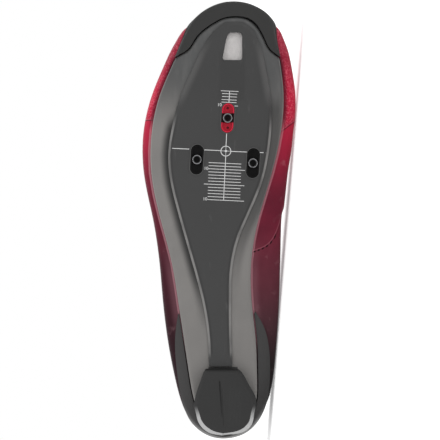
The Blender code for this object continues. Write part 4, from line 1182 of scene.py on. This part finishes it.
class SHOE_OT_rubber(Operator):
    """Finish the bumper, heel pad and heel cup"""

    bl_idname = "shoe.rubber"
    bl_label = "Bumper, pad and cup"

    def execute(self, context):
        tone = colours()
        bumper = copy_of("toe_bumper", "bumper_skin")
        crease_edges(bumper, 30.0, 0.6)
        soften(bumper, sizes().levels)
        swell(bumper, BUMPER_SWELLS, low=0.010, high=0.016)
        finish_piece(bumper, rubber_finish("bumper_rubber", tone.bumper),
                     replaces=("toe_bumper",))
        cup = copy_of("heel_cup", "cup_skin")
        crease_edges(cup, 50.0, 0.6)
        soften(cup, sizes().levels)
        finish_piece(cup, rubber_finish("cup_plastic", tone.cup, 0.5, 0.95),
                     replaces=("heel_cup",), angle=50.0)
        pad = copy_of("heel_pad", "pad_skin")
        for corner, place in corners(pad):
            rear = min(1.0, max(0.0, 1.0 - place.x / PAD_REAR))
            place.y = PAD_MIDDLE + (place.y - PAD_MIDDLE) * (1.0 + 0.35 * rear + 0.9 * rear ** 6)
            corner.co = LAY @ place
        sharp_faces_filled(pad, in_groove)
        crease_edges(pad, 30.0, 0.85)
        soften(pad, sizes().levels)
        bpy.ops.object.select_all(action="DESELECT")
        bpy.ops.mesh.primitive_cube_add(size=1.0, location=GROOVE_PLACE)
        cutter = context.active_object
        cutter.scale = GROOVE_SIZE
        cutter.rotation_euler = (0.0, 0.0, GROOVE_TURN)
        lay(cutter)
        cut_out(pad, cutter)
        finish_piece(pad, pad_finish(), replaces=("heel_pad",), angle=30.0)
        return {"FINISHED"}


class SHOE_OT_slots(Operator):
    """Finish the cleat slots, the nuts and the toe window"""

    bl_idname = "shoe.slots"
    bl_label = "Slots, nuts and window"

    def execute(self, context):
        names = ("front", "rear_lateral", "rear_medial")
        for name, centre in zip(names, SLOT_CENTRES):
            front = name == "front"
            tone = LINER_RED if front else LINER_BLACK
            liner = copy_of("slot_liner_" + name, "liner_" + name)
            bevel(liner, 0.00022)
            finish_piece(liner, liner_finish("liner_" + name, tone, centre if front else None),
                         replaces=("slot_liner_" + name,), angle=40.0)
            nut = copy_of("cleat_nut_" + name, "nut_skin_" + name)
            bevel(nut, 0.00018)
            finish_piece(nut, nut_finish("nut_" + name, centre), body="nut_" + name,
                         replaces=("cleat_nut_" + name,), angle=40.0)
        vent = copy_of("toe_vent", "vent_skin")
        soften(vent, sizes().levels)
        for corner, place in corners(vent):
            place.x = VENT_MIDDLE[0] + (place.x - VENT_MIDDLE[0]) * VENT_STRETCH[0]
            place.y = VENT_MIDDLE[1] + (place.y - VENT_MIDDLE[1]) * VENT_STRETCH[1]
            corner.co = LAY @ place
        cut_out(vent, window_cutter(), "INTERSECT")
        finish_piece(vent, vent_finish(), replaces=("toe_vent",), angle=40.0)
        return {"FINISHED"}


class SHOE_OT_print(Operator):
    """Print the cleat scales, the cross and the plain numbers on the plate"""

    bl_idname = "shoe.print"
    bl_label = "Printed scales"

    def execute(self, context):
        marks = []
        for along, low, high in FRONT_TICKS:
            marks.append(self.strip((along, low), (along - PRINT_LEAN * (high - low), high), PRINT_WIDTH))
        for step in range(SCALE_STEPS):
            shift = SCALE_SHIFT * (step - SCALE_STEPS // 2)
            low, high = SCALE_ENDS
            if step % 5 == 0:
                low, high = LONGEST_ENDS if step == 5 else LONG_ENDS
            along = SCALE_START + SCALE_PITCH * step
            marks.append(self.strip((along - PRINT_LEAN * (low - SCALE_MIDDLE), low + shift),
                                    (along - PRINT_LEAN * (high - SCALE_MIDDLE), high + shift), PRINT_WIDTH))
        for start, left, end, right, width in PRINT_LINES:
            marks.append(self.strip((start, left), (end, right), width))
        marks.append(self.disc(CROSS, 3.45, 3.0))
        marks.append(self.disc(CROSS, 0.75, 0.0))
        for place in NUMBERS:
            marks.append(self.number("10", place))
        pick(marks[0])
        for mark in marks:
            mark.select_set(True)
        bpy.ops.object.join()
        thing = context.active_object
        thing.name = "printed_scales"
        self.settle(thing, bpy.data.objects["plate_skin"])
        finish = Finish("print_white", roughness=0.6)
        worn = finish.noise(1.2, 3.0)
        finish.start((worn - 0.45).clipped() * 1.6, colours().print_white, 0.30)
        finish.feed("Base Color", finish.tone)
        finish_piece(thing, finish.material, angle=30.0)
        return {"FINISHED"}

    def strip(self, start, end, width):
        """A printed line between two places in the shoe's plan, in millimetres."""
        run = Vector((end[0] - start[0], end[1] - start[1])) * MILLIMETRE
        bpy.ops.object.select_all(action="DESELECT")
        bpy.ops.mesh.primitive_grid_add(x_subdivisions=max(2, int(run.length / 0.002)), y_subdivisions=1,
                                        size=1.0)
        mark = bpy.context.active_object
        mark.scale = (run.length, width * MILLIMETRE, 1.0)
        mark.rotation_euler = (math.pi, 0.0, math.atan2(run.y, run.x))
        mark.location = ((start[0] + end[0]) / 2 * MILLIMETRE, (start[1] + end[1]) / 2 * MILLIMETRE, 0.0)
        bpy.ops.object.transform_apply(location=True, rotation=True, scale=True)
        return mark

    def disc(self, centre, outer, inner):
        """A printed ring, or a spot where the inner radius is 0."""
        bpy.ops.object.select_all(action="DESELECT")
        bpy.ops.mesh.primitive_circle_add(vertices=40, radius=outer * MILLIMETRE, fill_type="NGON")
        mark = bpy.context.active_object
        if inner:
            edit(mark, (bpy.ops.mesh.inset, {"thickness": (outer - inner) * MILLIMETRE}),
                 (bpy.ops.mesh.delete, {"type": "FACE"}))
        mark.rotation_euler = (math.pi, 0.0, 0.0)
        mark.location = (centre[0] * MILLIMETRE, centre[1] * MILLIMETRE, 0.0)
        bpy.ops.object.transform_apply(location=True, rotation=True, scale=True)
        return mark

    def number(self, text, place, size=2.9):
        """A plain printed number, upright with the toe up."""
        bpy.ops.object.select_all(action="DESELECT")
        bpy.ops.object.text_add()
        mark = bpy.context.active_object
        mark.data.body = text
        mark.data.size = size * MILLIMETRE
        mark.data.align_x = "CENTER"
        mark.data.align_y = "CENTER"
        mark.matrix_world = Matrix.Translation((place[0] * MILLIMETRE, place[1] * MILLIMETRE, 0.0)) @ Matrix((
            (0.0, 1.0, 0.0), (1.0, 0.0, 0.0), (0.0, 0.0, -1.0))).to_4x4()
        bpy.ops.object.convert(target="MESH")
        mark = bpy.context.active_object
        bpy.ops.object.transform_apply(location=True, rotation=True, scale=True)
        return mark

    def settle(self, thing, carrier):
        """Lay the marks down on the plate's own face, and give them a thin body."""
        tree = BVHTree.FromPolygons([corner.co for corner in carrier.data.vertices],
                                    [tuple(face.vertices) for face in carrier.data.polygons])
        inward = LAY.to_3x3() @ Vector((0.0, 0.0, 1.0))
        for corner in thing.data.vertices:
            start = LAY @ Vector((corner.co.x, corner.co.y, -CUT_REACH))
            hit = tree.ray_cast(start, inward)[0]
            if hit is None:
                raise RuntimeError(f"a printed mark is off the plate at {corner.co.x:.4f}, {corner.co.y:.4f}")
            corner.co = hit - inward * PRINT_LIFT
        apply_modifier(thing, "SOLIDIFY", thickness=PRINT_THICKNESS, offset=-1.0)


class SHOE_OT_stage(Operator):
    """Set the floor, the backdrop, the lights and the camera"""

    bl_idname = "shoe.stage"
    bl_label = "Stage"

    def execute(self, context):
        floor_finish = Finish("pale_floor", roughness=0.9, specular=0.0)
        floor_finish.feed("Base Color", colours().floor)
        floor_finish.shader.inputs["Emission Color"].default_value = (1.0, 1.0, 1.0, 1.0)
        floor_finish.shader.inputs["Emission Strength"].default_value = FLOOR_GLOW
        bpy.ops.object.select_all(action="DESELECT")
        bpy.ops.mesh.primitive_plane_add(size=8.0, location=(0.0, 0.0, FLOOR_HEIGHT))
        floor = context.active_object
        floor.name = "floor"
        pick(floor)
        bpy.ops.object.transform_apply(location=True, rotation=True, scale=True)
        floor.data.materials.append(floor_finish.material)
        self.camera(context)
        self.lights(context)
        context.scene.view_settings.view_transform = "Standard"
        return {"FINISHED"}

    def camera(self, context):
        wide = sizes().view_width
        away = sizes().view_distance
        middle = LAY @ Vector(VIEW_MIDDLE)
        turn = LAY.to_3x3()
        right, up, back = turn.col[1], turn.col[0], -turn.col[2]
        place = middle + back * away
        data = bpy.data.cameras.new("camera")
        data.sensor_width = 36.0
        data.lens = data.sensor_width * away / wide
        data.clip_end = 50.0
        camera = bpy.data.objects.new("camera", data)
        context.scene.collection.objects.link(camera)
        camera.matrix_world = Matrix.Translation(place) @ Matrix((right, up, back)).transposed().to_4x4()
        context.scene.camera = camera

    def lights(self, context):
        for name, place, size, power in LIGHTS:
            data = bpy.data.lights.new(name, "AREA")
            data.shape = "SQUARE"
            data.size = size
            data.energy = power
            light = bpy.data.objects.new(name, data)
            light.location = place
            aim = Vector(LIGHT_AIM) - Vector(place)
            light.rotation_euler = aim.to_track_quat("-Z", "Y").to_euler()
            context.scene.collection.objects.link(light)
        world = bpy.data.worlds.new("studio")
        world.use_nodes = True
        world.node_tree.nodes["Background"].inputs["Color"].default_value = (1.0, 1.0, 1.0, 1.0)
        world.node_tree.nodes["Background"].inputs["Strength"].default_value = 1.0
        context.scene.world = world


class SHOE_PT_panel(Panel):
    """The steps of the shoe, in order"""

    bl_label = "Road cycling shoe"
    bl_idname = "SHOE_PT_panel"
    bl_space_type = "VIEW_3D"
    bl_region_type = "UI"
    bl_category = "Shoe"

    def draw(self, context):
        layout = self.layout
        layout.prop(context.scene.shoe_sizes, "levels")
        for step in STEPS:
            layout.operator(step.bl_idname)
        for name in ShoeColours.__annotations__:
            layout.prop(context.scene.shoe_colours, name)


STEPS = (SHOE_OT_stage, SHOE_OT_upper, SHOE_OT_inside, SHOE_OT_straps, SHOE_OT_sole, SHOE_OT_rubber,
         SHOE_OT_slots, SHOE_OT_print)
CLASSES = (ShoeColours, ShoeSizes, *STEPS, SHOE_PT_panel)


def register():
    for part in CLASSES:
        bpy.utils.register_class(part)
    bpy.types.Scene.shoe_colours = PointerProperty(type=ShoeColours)
    bpy.types.Scene.shoe_sizes = PointerProperty(type=ShoeSizes)


def unregister():
    del bpy.types.Scene.shoe_sizes
    del bpy.types.Scene.shoe_colours
    for part in reversed(CLASSES):
        bpy.utils.unregister_class(part)


def main():
    """Dress the shoe."""
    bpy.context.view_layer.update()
    register()
    bpy.ops.shoe.stage()
    bpy.ops.shoe.upper()
    bpy.ops.shoe.inside()
    bpy.ops.shoe.straps()
    bpy.ops.shoe.sole()
    bpy.ops.shoe.rubber()
    bpy.ops.shoe.slots()
    bpy.ops.shoe.print()


if __name__ == "__main__":
    main()
